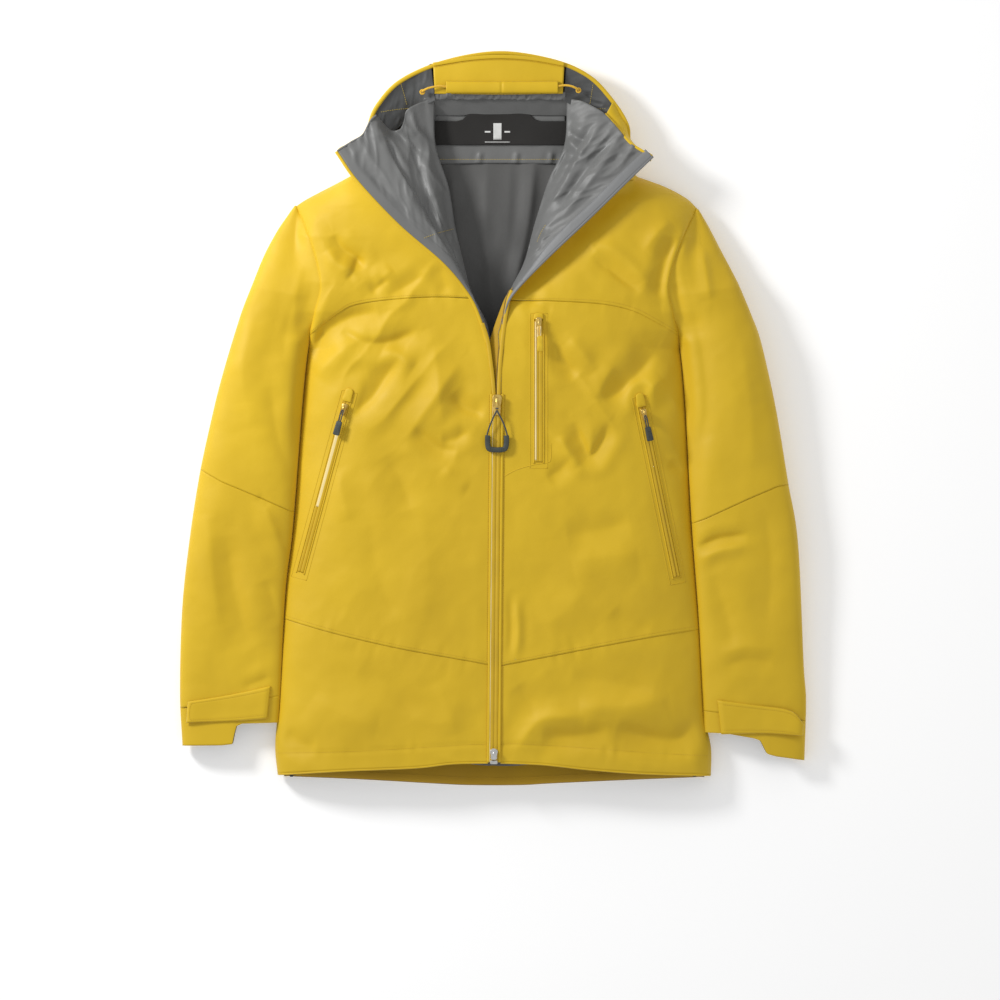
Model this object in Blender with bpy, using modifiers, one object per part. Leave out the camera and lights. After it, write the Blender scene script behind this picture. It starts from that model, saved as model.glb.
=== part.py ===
"""A hardshell jacket lying on its back, in metres.

+X points to the wearer's left, +Y to the hood and +Z up from the chest. The origin is under the middle
of the jacket, on the surface that it lies on. Plan outlines are given in millimetres as (x, y), from
the hem to the shoulder or from the zip outwards, because the cloth lies unevenly on its two sides.
"""

import math

import bmesh
import bpy
import numpy as np
from mathutils import Matrix, Vector

MM = 0.001
CLOTH = 1.6  # thickness of the bonded shell and backer
LINING = 1.2  # thickness of facings, tapes and pocket bags
SEAM_GAP = 0.4  # each panel stops this far short of its seam line
HEM_HEIGHT = 45.0  # height of the closed zip at the hem
CHEST_HEIGHT = 60.0  # height of the closed zip at its upper slider
SIDE_HEIGHT = 16.0  # height of the side seam
SHOULDER_HEIGHT = 18.0
SHOULDER_FALL = 34.0  # width over which the front rounds down to the shoulder line
ZIP_TOP = (5.0, 30.0)
ZIP_FOOT = (1.0, -417.0)
CHAIN_HALF = 2.2
TAPE_HALF = 6.6
PANEL_FROM_ZIP = 7.2
SLIDER_LIFT = 4.4  # sliders run this far above the line of their zip
MAIN_PULL_PIVOT = (24.0, 8.6)  # distance down the zip from its top, and height above its line
LOWER_PULL_PIVOT = (431.0, 7.6)
CHEST_PULL_PIVOT = (16.0, 10.9)
HAND_PULL_PIVOT = (31.0, 10.9)
CHEST_ZIP = ((55.5, 127.0), (55.5, -54.0))
HAND_ZIP = {"right": ((-173.0, 38.0), (-235.0, -189.0)), "left": ((177.0, 32.0), (224.0, -195.0))}
SLEEVE_THICK = [(250, 22), (160, 50), (60, 50), (-60, 46), (-200, 38), (-320, 31), (-420, 27)]
TAB_HINGE_DEG = 150

SIDE = {
    "right": [(-262, -433), (-265, -398), (-261, -344), (-254, -212), (-245, -132), (-233, 22), (-226, 88)],
    "left": [(265, -434), (264, -400), (256, -355), (252, -250), (243, -124), (235, 22), (229, 86)],
}
ARMHOLE = {
    "right": [(-226, 88), (-217, 130), (-210, 166), (-222, 222), (-238, 250)],
    "left": [(229, 86), (219, 130), (214, 166), (228, 222), (250, 254)],
}
SHOULDER = {
    "right": [(-238, 250), (-223, 261), (-196, 279), (-170, 292)],
    "left": [(250, 254), (233, 271), (210, 283), (172, 292)],
}
RIM = {
    "right": [(-2.2, 30), (-8, 76), (-16, 110), (-34, 148), (-64, 186), (-117, 232), (-170, 292)],
    "left": [(12.2, 30), (14, 83), (21, 125), (30, 148), (66, 191), (124, 246), (172, 292)],
}
YOKE_SEAM = {
    "right": [(-222, 104), (-187, 130), (-166, 140), (-121, 146), (-72, 148), (-34, 146)],
    "left": [(224, 104), (198, 119), (172, 132), (138, 140), (87, 143), (29, 144)],
}
LOWER_SEAM = {
    "right": [(-256, -241), (-194, -259), (-118, -277), (-32, -293), (-6, -298)],
    "left": [(252, -254), (202, -262), (137, -274), (71, -287), (10, -299)],
}
HEM = {
    "right": [(-262, -433), (-185, -428), (-95, -424), (-50, -419), (-6, -418)],
    "left": [(265, -434), (180, -431), (115, -426), (60, -420), (9, -418)],
}
BACK_HEM = [(-255, -436), (-162, -440), (-73, -445), (-28, -447), (33, -447), (71, -445), (159, -441), (258, -437)]
LAPEL_RIM = {
    "right": [(-29, 152, 60), (-59, 189, 68), (-113, 236, 70), (-163, 289, 68), (-188, 324, 62)],
    "left": [(24, 152, 60), (60, 193, 68), (118, 248, 70), (165, 292, 68), (192, 319, 62)],
}
LAPEL_INSIDE = {
    "right": [(-27, 157, 57), (-39, 204, 40), (-46, 234, 32), (-53, 283, 26), (-68, 335, 24), (-74, 376, 26)],
    "left": [(22, 157, 57), (38, 192, 44), (51, 239, 32), (67, 292, 26), (86, 335, 24), (92, 376, 26)],
}
LAPEL_TOP = {
    "right": [(-188, 324, 62), (-160, 344, 54), (-133, 350, 44), (-108, 366, 33), (-74, 376, 26)],
    "left": [(192, 319, 62), (166, 332, 54), (141, 361, 42), (114, 371, 32), (92, 376, 26)],
}
SLEEVE_OUTER = {
    "right": [(-252, 249), (-279, 205), (-301, 158), (-331, 59), (-345, -2), (-357, -63), (-369, -139),
              (-380, -229), (-383, -332), (-380, -398)],
    "left": [(253, 252), (277, 214), (306, 156), (326, 102), (340, 40), (359, -78), (372, -152),
             (380, -298), (383, -344), (381, -416)],
}
SLEEVE_INNER = {
    "right": ARMHOLE["right"][::-1] + [(-231, 70), (-241, 15), (-249, -112), (-262, -170), (-262, -246),
                                       (-264, -332), (-267, -372)],
    "left": ARMHOLE["left"][::-1] + [(234, 70), (241, 10), (248, -124), (254, -200), (259, -289),
                                     (262, -344), (268, -384)],
}
HOOD_OUTLINE = [(-150, 340), (-151, 360), (-141, 384), (-113, 413), (-60, 436), (8, 447), (75, 437),
                (118, 418), (146, 389), (164, 360), (166, 338)]
BRIM_TOP = [(-71, 434), (-30, 441), (8, 443), (48, 441), (85, 434)]
HOOD_SIDE = {
    "right": [(-77, 432), (-108, 413), (-142, 383), (-129, 357), (-109, 374), (-76, 390)],
    "left": [(90, 432), (120, 413), (146, 381), (135, 371), (114, 378), (90, 390)],
}
TAB = {
    "right": [(-271, -325), (-312, -334), (-346, -340), (-370, -344), (-372, -368), (-320, -366), (-275, -364)],
    "left": [(273, -342), (318, -348), (362, -355), (379, -372), (378, -384), (330, -381), (284, -378)],
}
SIGN = {"right": -1, "left": 1}


# ---------------------------------------------------------------- curves and surfaces


def resample(points, count):
    """Evenly spaced points on a smooth curve through the given ones."""
    points = np.array(points, float)
    if len(points) == 2:
        steps = np.linspace(0, 1, count)[:, None]
        return points[0] + (points[1] - points[0]) * steps
    padded = np.vstack([2 * points[0] - points[1], points, 2 * points[-1] - points[-2]])
    dense = []
    for i in range(1, len(points)):
        a, b, c, d = padded[i - 1 : i + 3]
        t = np.linspace(0, 1, 16, endpoint=False)[:, None]
        dense.append(0.5 * (2 * b + (c - a) * t + (2 * a - 5 * b + 4 * c - d) * t**2
                            + (3 * b - a - 3 * c + d) * t**3))
    dense = np.vstack(dense + [points[-1:]])
    length = np.concatenate([[0], np.cumsum(np.linalg.norm(np.diff(dense, axis=0), axis=1))])
    wanted = np.linspace(0, length[-1], count)
    return np.stack([np.interp(wanted, length, dense[:, k]) for k in range(dense.shape[1])], axis=1)


def between(points, low, high):
    """The stretch of a smooth curve whose y lies between two values."""
    curve = resample(points, 200)
    inside = curve[(curve[:, 1] >= low - 1e-6) & (curve[:, 1] <= high + 1e-6)]
    return [tuple(point) for point in inside]


def blended_patch(bottom, top, start, end, cols, rows):
    """A surface patch between four edge curves, as rows of points."""
    bottom = resample(bottom, cols)
    top = resample(top, cols)
    start = resample(start, rows)
    end = resample(end, rows)
    u = np.linspace(0, 1, cols)[None, :, None]
    v = np.linspace(0, 1, rows)[:, None, None]
    ruled = (1 - v) * bottom[None] + v * top[None] + (1 - u) * start[:, None] + u * end[:, None]
    corners = ((1 - u) * (1 - v) * bottom[0] + u * (1 - v) * bottom[-1]
               + (1 - u) * v * top[0] + u * v * top[-1])
    return ruled - corners


def edge_x(side, y):
    """Where the front ends sideways: the side seam, or the armhole above it."""
    line = np.array(SIDE[side] + ARMHOLE[side][1:], float)
    return np.interp(y, line[:, 1], line[:, 0])


def shoulder_depth(x, y):
    """Distance of a point below the shoulder line of its side."""
    a, b = np.array([-238.0, 250.0]), np.array([-170.0, 292.0])
    if x > 0:
        a, b = np.array([250.0, 254.0]), np.array([172.0, 294.0])
    along = (b - a) / np.linalg.norm(b - a)
    return abs(along[0] * (y - a[1]) - along[1] * (x - a[0]))


def front_z(x, y):
    """Height of the outer face of the front."""
    crown = np.interp(y, [ZIP_FOOT[1], ZIP_TOP[1]], [HEM_HEIGHT, CHEST_HEIGHT])
    edge = np.interp(y, [88, 130, 166, 222, 256], [SIDE_HEIGHT, 36, 44, 34, SHOULDER_HEIGHT])
    across = min(1.0, x / edge_x("left" if x > 0 else "right", y))
    height = edge + (crown - edge) * math.sqrt(1 - across**4)
    near = min(1.0, shoulder_depth(x, y) / SHOULDER_FALL) if y > 200 else 1.0
    return SHOULDER_HEIGHT + (height - SHOULDER_HEIGHT) * math.sqrt(1 - (1 - near) ** 2)


def on_front(plan, lift=0.0):
    return np.array([[(x, y, front_z(x, y) + lift) for x, y in row] for row in plan])


def pull_in(grid, gap):
    """Moves the border of a patch inwards, so that neighbouring panels stay apart."""
    grid = grid.copy()
    for edge, inner in ((0, 1), (-1, -2)):
        step = grid[inner] - grid[edge]
        grid[edge] += step * (gap / np.maximum(np.linalg.norm(step, axis=1), gap))[:, None]
    for edge, inner in ((0, 1), (-1, -2)):
        step = grid[:, inner] - grid[:, edge]
        grid[:, edge] += step * (gap / np.maximum(np.linalg.norm(step, axis=1), gap))[:, None]
    return grid


# ---------------------------------------------------------------- Blender objects


def clear_scene():
    for obj in list(bpy.data.objects):
        bpy.data.objects.remove(obj, do_unlink=True)


def collection(name, hidden=False):
    made = bpy.data.collections.new(name)
    bpy.context.scene.collection.children.link(made)
    made.hide_render = hidden
    return made


def material(name, colour, roughness, metallic=0.0):
    made = bpy.data.materials.new(name)
    made.use_nodes = True
    shader = made.node_tree.nodes["Principled BSDF"]
    shader.inputs["Base Color"].default_value = (*colour, 1.0)
    shader.inputs["Roughness"].default_value = roughness
    shader.inputs["Metallic"].default_value = metallic
    return made


def finish_object(obj, finish):
    obj.data.materials.append(FINISHES[finish])
    PARTS.objects.link(obj)
    return obj


def cloth_sheet(name, grid, finish, thick=CLOTH, closed_ring=False, face_down=False):
    """A sheet of cloth on a grid of points, its outer face on the grid and its thickness inside."""
    rows, cols = grid.shape[:2]
    shape = bmesh.new()
    verts = [shape.verts.new(Vector(point) * MM) for point in grid.reshape(-1, 3)]
    last = cols if closed_ring else cols - 1
    for r in range(rows - 1):
        for c in range(last):
            d = (c + 1) % cols
            corner = (verts[r * cols + c], verts[r * cols + d], verts[(r + 1) * cols + d],
                      verts[(r + 1) * cols + c])
            shape.faces.new(corner[::-1] if face_down else corner)
    mesh = bpy.data.meshes.new(name)
    shape.to_mesh(mesh)
    shape.free()
    obj = finish_object(bpy.data.objects.new(name, mesh), finish)
    wall = obj.modifiers.new("wall", "SOLIDIFY")
    wall.thickness = thick * MM
    wall.offset = -1
    return obj


def ribbon(name, path, width_from, width_to, finish, thick=LINING):
    """A strip beside a path, between two distances to the right of its direction of travel."""
    path = np.array(path, float)
    heading = np.gradient(path[:, :2], axis=0)
    heading /= np.linalg.norm(heading, axis=1)[:, None]
    right = np.stack([heading[:, 1], -heading[:, 0], np.zeros(len(path))], axis=1)
    low, high = sorted((width_from, width_to))
    grid = np.stack([path + right * high, path + right * low])
    return cloth_sheet(name, grid, finish, thick, face_down=False)


def plate(name, outline, z, thick, finish):
    """A flat piece with the given outline, its lower face at z."""
    curve = bpy.data.curves.new(name, "CURVE")
    curve.dimensions = "2D"
    curve.fill_mode = "BOTH"
    curve.extrude = thick * MM / 2
    spline = curve.splines.new("POLY")
    spline.points.add(len(outline) - 1)
    for point, (x, y) in zip(spline.points, outline):
        point.co = (x * MM, y * MM, 0, 1)
    spline.use_cyclic_u = True
    obj = bpy.data.objects.new(name, curve)
    obj.location.z = (z + thick / 2) * MM
    return finish_object(obj, finish)


def rounded_box(name, size, place, finish, turn=None, edge=0.8):
    """A box with rounded edges. Size and place are in millimetres, and turn is its rotation."""
    mesh = bpy.data.meshes.new(name)
    shape = bmesh.new()
    bmesh.ops.create_cube(shape, size=1.0, matrix=Matrix.Diagonal((*(s * MM for s in size), 1.0)))
    shape.to_mesh(mesh)
    shape.free()
    obj = finish_object(bpy.data.objects.new(name, mesh), finish)
    obj.matrix_world = Matrix.Translation(Vector(place) * MM) @ (turn or Matrix()).to_4x4()
    bevel = obj.modifiers.new("rounded edges", "BEVEL")
    bevel.width = edge * MM
    bevel.segments = 2
    return obj


def cord(name, points, diameter, finish, closed_loop=False):
    curve = bpy.data.curves.new(name, "CURVE")
    curve.dimensions = "3D"
    curve.bevel_depth = diameter * MM / 2
    curve.bevel_resolution = 2
    curve.use_fill_caps = True
    spline = curve.splines.new("POLY")
    spline.points.add(len(points) - 1)
    for point, place in zip(spline.points, points):
        point.co = (*(Vector(place) * MM), 1)
    spline.use_cyclic_u = closed_loop
    return finish_object(bpy.data.objects.new(name, curve), finish)


def slot_cutter(name, line, width):
    """A tall box along a zip's line, which opens the slot under its tape."""
    top, foot = (np.array([*end, front_z(*end)]) for end in line)
    middle = (top + foot) / 2
    obj = rounded_box(name, (width, np.linalg.norm(top - foot) - 14, 26), middle, "zip_film",
                      zip_turn(line), edge=0.01)
    obj.modifiers.clear()
    PARTS.objects.unlink(obj)
    CUTTERS.objects.link(obj)
    obj.hide_render = True
    obj.display_type = "WIRE"
    return obj


def cut(obj, cutter):
    hole = obj.modifiers.new("slot for " + cutter.name, "BOOLEAN")
    hole.operation = "DIFFERENCE"
    hole.solver = "EXACT"
    hole.object = cutter


def zip_turn(line):
    """Rotation whose Y runs up a zip's line and whose Z leaves the cloth."""
    top, foot = (Vector((*end, front_z(*end))) for end in line)
    up = (top - foot).normalized()
    across = up.cross(Vector((0, 0, 1))).normalized()
    out = across.cross(up)
    return Matrix((across, up, out)).transposed()


# ---------------------------------------------------------------- body of the jacket


def front_patch(side, bottom, top, outer, inner, cols, rows):
    plan = blended_patch(bottom, top, outer, inner, cols, rows)
    if side == "left":
        plan = plan[:, ::-1]
    return plan


def make_front(side):
    """Yoke, front panel and hem panel of one side, each ending at its seams."""
    zip_side = SIGN[side] * PANEL_FROM_ZIP
    foot_x = ZIP_FOOT[0] + zip_side
    body_side = SIDE[side] + ARMHOLE[side][1:]
    seam_y, lower_y = YOKE_SEAM[side][0][1], LOWER_SEAM[side][0][1]
    rim_low = between(RIM[side], 30, YOKE_SEAM[side][-1][1])
    yoke_rim = between(RIM[side], YOKE_SEAM[side][-1][1], 292)
    lower_zip = LOWER_SEAM[side][-1][1]
    lower_x = np.interp(lower_zip, [ZIP_FOOT[1], ZIP_TOP[1]], [ZIP_FOOT[0], ZIP_TOP[0]]) + zip_side
    straight = [(lower_x, lower_zip), (ZIP_TOP[0] + zip_side, ZIP_TOP[1])]
    zip_edge = [tuple(p) for p in resample(straight, 8)] + rim_low[2:]
    yoke = front_patch(side, YOKE_SEAM[side], SHOULDER[side], between(body_side, seam_y, 254), yoke_rim, 11, 9)
    panel = front_patch(side, LOWER_SEAM[side], YOKE_SEAM[side], between(body_side, lower_y, seam_y),
                        zip_edge, 13, 13)
    hem = front_patch(side, HEM[side], LOWER_SEAM[side], between(body_side, -434, lower_y),
                      [(foot_x, -418), (lower_x, lower_zip)], 13, 7)
    made = {}
    for name, plan in (("front_yoke", yoke), ("front_panel", panel), ("hem_panel", hem)):
        grid = pull_in(on_front(plan), SEAM_GAP)
        made[name] = cloth_sheet(f"{side}_{name}", grid, "shell_yellow")
    return made


def back_z(x, y):
    """Height of the underside of the back: flat, and turned up at the side seams and the shoulders."""
    near = abs(x - edge_x("left" if x > 0 else "right", y)) if y < 88 else 99.0
    if y > 200 and abs(x) > 80:
        near = min(near, shoulder_depth(x, y))
    return 13.6 * (1 - min(1.0, near / 14)) ** 2


def make_back():
    rows = []
    for y in (*np.linspace(-436, 80, 14), 88, 110, 138, 166, 194, 222, 246, 262, 278, 292, 306, 317):
        left, right = edge_x("right", y), edge_x("left", y)
        if y > 250:
            left = np.interp(y, [250, 292, 317], [-236, -172, -94])
            right = np.interp(y, [254, 292, 317], [248, 174, 106])
        inset = 1.2 if y < 200 else 2.5
        left, right = left + inset, right - inset
        share = np.concatenate([[0, 5, 10], np.linspace(22, right - left - 22, 11), [right - left - 10]])
        xs = left + np.concatenate([share, [right - left - 5, right - left]])
        rows.append([(x, y) for x in xs])
    hem = resample(BACK_HEM, len(rows[0]))
    rows[0] = [(rows[0][i][0], hem[i][1]) for i in range(len(hem))]
    grid = np.array([[(x, y, back_z(x, y)) for x, y in row] for row in rows])
    cloth_sheet("back_panel", grid, "shell_yellow", face_down=True)


def make_lapel(side):
    """The turned-open upper front and collar, seen from its inner face."""
    start = [LAPEL_RIM[side][0], LAPEL_INSIDE[side][0]]
    grid = blended_patch(LAPEL_RIM[side], LAPEL_INSIDE[side], start, LAPEL_TOP[side], 13, 7)
    if side == "right":
        grid = grid[:, ::-1]
    cloth_sheet(f"{side}_collar", grid, "backer_grey")


def make_hem_cord_lock(side):
    x = SIGN[side] * 246
    rounded_box(f"{side}_hem_cord_lock", (13, 7, 5), (x, -431, 9), "moulded_black")


# ---------------------------------------------------------------- hood and neck


def make_hood():
    rim = resample(HOOD_OUTLINE, 19)
    neck = resample([(-92, 322), (108, 322)], 19)
    shares = ((0, 0.4), (0.45, 0.4), (0.86, 0.4), (0.94, 8), (0.985, 22), (1.0, 34))
    rows = [[(*(low + (high - low) * share), z) for low, high in zip(neck, rim)] for share, z in shares]
    cloth_sheet("hood_shell", np.array(rows), "shell_yellow", face_down=True)
    lower = [(x, 397) for x in (-70, -30, 8, 46, 84)]
    brim = blended_patch(lower, BRIM_TOP, [lower[0], BRIM_TOP[0]], [lower[-1], BRIM_TOP[-1]], 11, 4)
    lift = np.linspace(29, 38, 4)[:, None, None] * np.ones((4, 11, 1))
    cloth_sheet("hood_brim", np.concatenate([brim, lift], axis=2), "shell_yellow")
    for side in SIGN:
        plate(f"{side}_hood_side", HOOD_SIDE[side], 36.5, CLOTH, "hood_grey")
        sign = SIGN[side]
        start, eyelet = ((-58, 404), (-86, 398)) if sign < 0 else ((79, 405), (104, 400))
        make_eyelet(f"{side}_hood_eyelet", (*eyelet, 38.6))
        route = [(*start, 41.4), ((start[0] + eyelet[0]) / 2, (start[1] + eyelet[1]) / 2 - 1, 43),
                 (eyelet[0] - sign * 1.5, eyelet[1] + 1, 42)]
        cord(f"{side}_hood_cord", [tuple(p) for p in resample(route, 7)], 3.0, "cord_yellow")
    plate("hood_band", [(-70, 378), (85, 378), (84, 395.5), (-69, 395.5)], 20, LINING, "backer_grey")
    rounded_box("hood_adjuster_tunnel", (134, 12, 4), (10.5, 405, 41.2), "shell_yellow")


def make_eyelet(name, place):
    """A pressed ring with a hole for the hood cord."""
    profile = [(1.7, 0.0), (1.7, 1.0), (2.2, 1.3), (3.0, 1.2), (3.4, 0.6), (3.4, 0.0)]
    mesh = bpy.data.meshes.new(name)
    shape = bmesh.new()
    verts = [shape.verts.new((r * MM, 0, z * MM)) for r, z in profile]
    for i, vert in enumerate(verts):
        shape.edges.new((vert, verts[(i + 1) % len(verts)]))
    shape.to_mesh(mesh)
    shape.free()
    obj = finish_object(bpy.data.objects.new(name, mesh), "eyelet_metal")
    obj.location = Vector(place) * MM
    turn = obj.modifiers.new("turn", "SCREW")
    turn.steps = turn.render_steps = 16
    turn.use_merge_vertices = True
    turn.merge_threshold = 0.00005
    turn.use_normal_calculate = True


def make_neck():
    plate("neck_facing", [(-66, 321), (82, 321), (84, 376), (-68, 376)], 9, LINING, "backer_grey")
    label = [(-64, 335), (84, 335), (86, 364), (55, 364), (42, 374), (-30, 374), (-43, 364), (-66, 364)]
    plate("neck_label", label, 10.8, 0.8, "label_black")


# ---------------------------------------------------------------- sleeves


def sleeve_ring(side, share_inner, share_outer, sides=16, open_inside=False):
    """One cross-section of a sleeve, from the inner edge over the top and back underneath."""
    inner = resample(SLEEVE_INNER[side], 401)[round(share_inner * 400)]
    outer = resample(SLEEVE_OUTER[side], 401)[round(share_outer * 400)]
    thick = np.interp((inner[1] + outer[1]) / 2, *np.array(SLEEVE_THICK[::-1], float).T)
    angles = np.linspace(0, 2 * math.pi, sides, endpoint=False)
    if open_inside:
        angles = np.linspace(0.42, 2 * math.pi - 0.42, sides)
    ring = []
    for angle in angles:
        c, s = math.cos(angle), math.sin(angle)
        across = 0.5 - 0.5 * math.copysign(abs(c) ** 0.75, c)
        if open_inside:
            across = (across - 0.015) / 0.985
        height = 0.5 + 0.5 * math.copysign(abs(s) ** 0.6, s)
        x, y = inner + (outer - inner) * across
        ring.append((x, y, 0.4 + thick * height))
    return ring if side == "right" else ring[::-1]


def share_at(points, y):
    curve = resample(points, 401)
    return int(np.argmin(abs(curve[:, 1] - y))) / 400


def make_tube(side, name, spans, finish="shell_yellow", open_inside=False, sides=16):
    """A stretch of sleeve through cross-sections given by their inner and outer y."""
    rings = []
    for inner_y, outer_y in spans:
        inner = share_at(SLEEVE_INNER[side], inner_y)
        outer = share_at(SLEEVE_OUTER[side], outer_y)
        rings.append(sleeve_ring(side, inner, outer, sides, open_inside))
    cloth_sheet(f"{side}_{name}", np.array(rings), finish, closed_ring=not open_inside)


def make_sleeve(side):
    elbow_in, elbow_out = (-112, -62) if side == "right" else (-124, -80)
    cuff_in, cuff_out = (-341, -352) if side == "right" else (-358, -366)
    end_in, end_out = SLEEVE_INNER[side][-1][1], SLEEVE_OUTER[side][-1][1]
    make_tube(side, "sleeve_head", [(246, 246), (222, 226), (190, 204), (150, 182), (96, 162)],
              open_inside=True, sides=14)
    make_tube(side, "upper_sleeve", [(86, 157), (60, 110), (10, 50), (-50, -10),
                                     (elbow_in + 1.5, elbow_out + 1.5)])
    make_tube(side, "lower_sleeve", [(elbow_in - 1.5, elbow_out - 1.5), (-170, -140), (-240, -230),
                                     (-300, -310), (cuff_in, cuff_out)])
    make_tube(side, "cuff", [(cuff_in - 2.5, cuff_out - 2.5), (end_in, end_out)])


def cuff_z(side, x):
    """Height of the sleeve's upper face at the cuff tab."""
    inner, outer = (-264, -382) if side == "right" else (260, 382)
    across = np.clip((x - inner) / (outer - inner), 0.0, 1.0)
    c = abs(1 - 2 * across) ** (1 / 0.75)
    return 0.4 + 30.5 * (0.5 + 0.5 * (1 - min(1.0, c) ** 2) ** 0.3)


def make_cuff_tab(side):
    """The adjuster tab, sewn down at its inner end, with its hinge line there."""
    outline = TAB[side]
    top = resample(outline[:4], 9)
    foot = resample(outline[:3:-1], 9)
    grid = []
    for lower, upper in zip(foot, top):
        grid.append([(x, y, cuff_z(side, x) + 5.2) for x, y in np.linspace(lower, upper, 3)])
    grid = np.array(grid).transpose(1, 0, 2)
    tab = cloth_sheet(f"{side}_cuff_tab", grid if side == "left" else grid[:, ::-1], "shell_yellow", 1.8)
    hinge = Vector((*outline[0], cuff_z(side, outline[0][0]) + 4.4)) * MM
    tab.data.transform(Matrix.Translation(-hinge))
    tab.location = hinge
    end_x = SIGN[side] * 362
    rows = [[(x, y, cuff_z(side, x) + 2.6) for x in np.linspace(end_x - 16, end_x + 2, 5)]
            for y in ((-365, -345) if side == "right" else (-384, -360))]
    cloth_sheet(f"{side}_cuff_hook_patch", np.array(rows), "hook_orange", 1.0)


# ---------------------------------------------------------------- zips


def line_point(line, from_top, lift):
    """A point on a zip's straight line, by its distance from the top and its height above the line."""
    top, foot = (Vector((*end, front_z(*end))) for end in line)
    way = (foot - top).normalized()
    return top + way * from_top + zip_turn(line).col[2] * lift


def make_slider(prefix, line, from_top, size, finish, lift=SLIDER_LIFT):
    """A slider, riding over the chain. Its pull hangs from a pivot on its upper face."""
    place = line_point(line, from_top, lift + size[2] / 2)
    return rounded_box(f"{prefix}_slider", size, place, finish, zip_turn(line))


def pull_outline(width, length):
    """A grip that narrows towards the slider and is round at its free end."""
    points = [(-width * 0.32, 0), (width * 0.32, 0), (width / 2, -length + width / 2)]
    for k in range(1, 6):
        angle = -math.pi * k / 6
        points.append((math.cos(angle) * width / 2, -length + width / 2 + math.sin(angle) * width / 2))
    return points + [(-width / 2, -length + width / 2)]


def make_pull(name, line, from_top, lift, width, length, finish, thick=2.4):
    """A flat grip hanging down the zip from the pivot at the given distance from the top."""
    obj = plate(name, pull_outline(width, length), 0, thick, finish)
    obj.matrix_world = Matrix.Translation(line_point(line, from_top, lift) * MM) @ zip_turn(line).to_4x4()
    return obj


def make_main_zip():
    line = (ZIP_TOP, ZIP_FOOT)
    closed = [line_point(line, d, 0) for d in np.linspace(0, 446, 6)][::-1]
    for side, sign in SIGN.items():
        tape = [Vector(p) + Vector((sign * 4.7, 0, 0)) for p in closed]
        upper = [(x - sign * 3.2, y, np.interp(y, [30, 60, 150, 292], [60, 63, 72.5, 73])) for x, y in RIM[side]]
        path = np.array([tuple(p) for p in tape] + [tuple(p) for p in resample(upper, 14)[1:]])
        ribbon(f"main_zip_{side}_tape", path, -1.9, 1.9, "zip_film")
    ribbon("main_zip_chain", np.array([tuple(p + Vector((0, 0, 0.8))) for p in closed]), -CHAIN_HALF,
           CHAIN_HALF, "zip_teeth", 2.4)
    make_slider("main_zip", line, 14, (11, 26, 6), "slider_bronze", lift=1.2)
    half_loop = resample([(0, 0, 0), (3.5, -4, 0), (7, -12, -1.5), (10, -25, -3)], 7)
    loop = [*half_loop, *(half_loop[:0:-1] * (-1, 1, 1))]
    turn = zip_turn(line)
    pivot = line_point(line, *MAIN_PULL_PIVOT)
    cord("main_zip_pull_cord", [tuple(pivot + turn @ Vector(p)) for p in loop], 2.0, "cord_dark", closed_loop=True)
    make_pull("main_zip_pull_grip", line, 51.4, 5, 26, 20, "grip_rubber", 4.0)
    make_slider("main_zip_lower", line, 438, (9, 12, 5), "slider_silver", lift=1.2)
    make_pull("main_zip_lower_pull", line, *LOWER_PULL_PIVOT, 6, 15, "slider_silver", 1.6)


def surface_tape(name, line, half, lift, extend=0.0):
    top, foot = np.array(line[0]), np.array(line[1])
    way = (top - foot) / np.linalg.norm(top - foot)
    path = resample([foot - way * extend, top + way * extend], 9)
    side = np.array([way[1], -way[0]])
    grid = [[(*(p - side * half), front_z(*(p - side * half)) + lift),
             (*(p + side * half), front_z(*(p + side * half)) + lift)] for p in path]
    return cloth_sheet(name, np.array(grid), "zip_film", 1.0)


def make_pocket_bag(name, corners, drop=5.5):
    """A flat pocket bag behind the front, hanging below its zip."""
    bottom, top = corners
    plan = blended_patch(bottom, top, [bottom[0], top[0]], [bottom[-1], top[-1]], 7, 7)
    cloth_sheet(name, on_front(plan, -drop), "backer_grey", LINING)


def make_chest_pocket():
    surface_tape("chest_zip_tape", CHEST_ZIP, 4.6, 2.6)
    make_slider("chest_zip", CHEST_ZIP, 12, (7, 16, 5), "slider_bronze")
    make_pull("chest_zip_pull", CHEST_ZIP, *CHEST_PULL_PIVOT, 5, 30, "cord_yellow", 2.0)
    make_pocket_bag("chest_pocket_bag", ([(34, -72), (66, -76), (106, -70)], [(34, 134), (70, 134), (104, 130)]))


def make_hand_pocket(side):
    line = HAND_ZIP[side]
    sign = SIGN[side]
    surface_tape(f"{side}_hand_zip_tape", line, 4.4, 2.6)
    make_slider(f"{side}_hand_zip", line, 27, (6.5, 14, 5), "zip_film")
    make_pull(f"{side}_hand_zip_pull", line, *HAND_PULL_PIVOT, 7, 29, "grip_rubber", 2.2)
    surface_tape(f"{side}_hand_zip_garage", (line[0], tuple(np.array(line[0]) + (0, -17))), 6, 12.6)
    outer = sign * np.array([222, 205, 190])
    inner = sign * np.array([60, 66, 80])
    bottom = [(inner[0], -226), ((inner[0] + outer[0]) / 2, -234), (outer[0], -214)]
    top = [(inner[2], 46), ((inner[2] + outer[2]) / 2, 52), (outer[2] - sign * 2, 48)]
    if side == "right":
        bottom, top = bottom[::-1], top[::-1]
    make_pocket_bag(f"{side}_hand_pocket_bag", (bottom, top), drop=7.5)


# ---------------------------------------------------------------- the whole jacket

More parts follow.
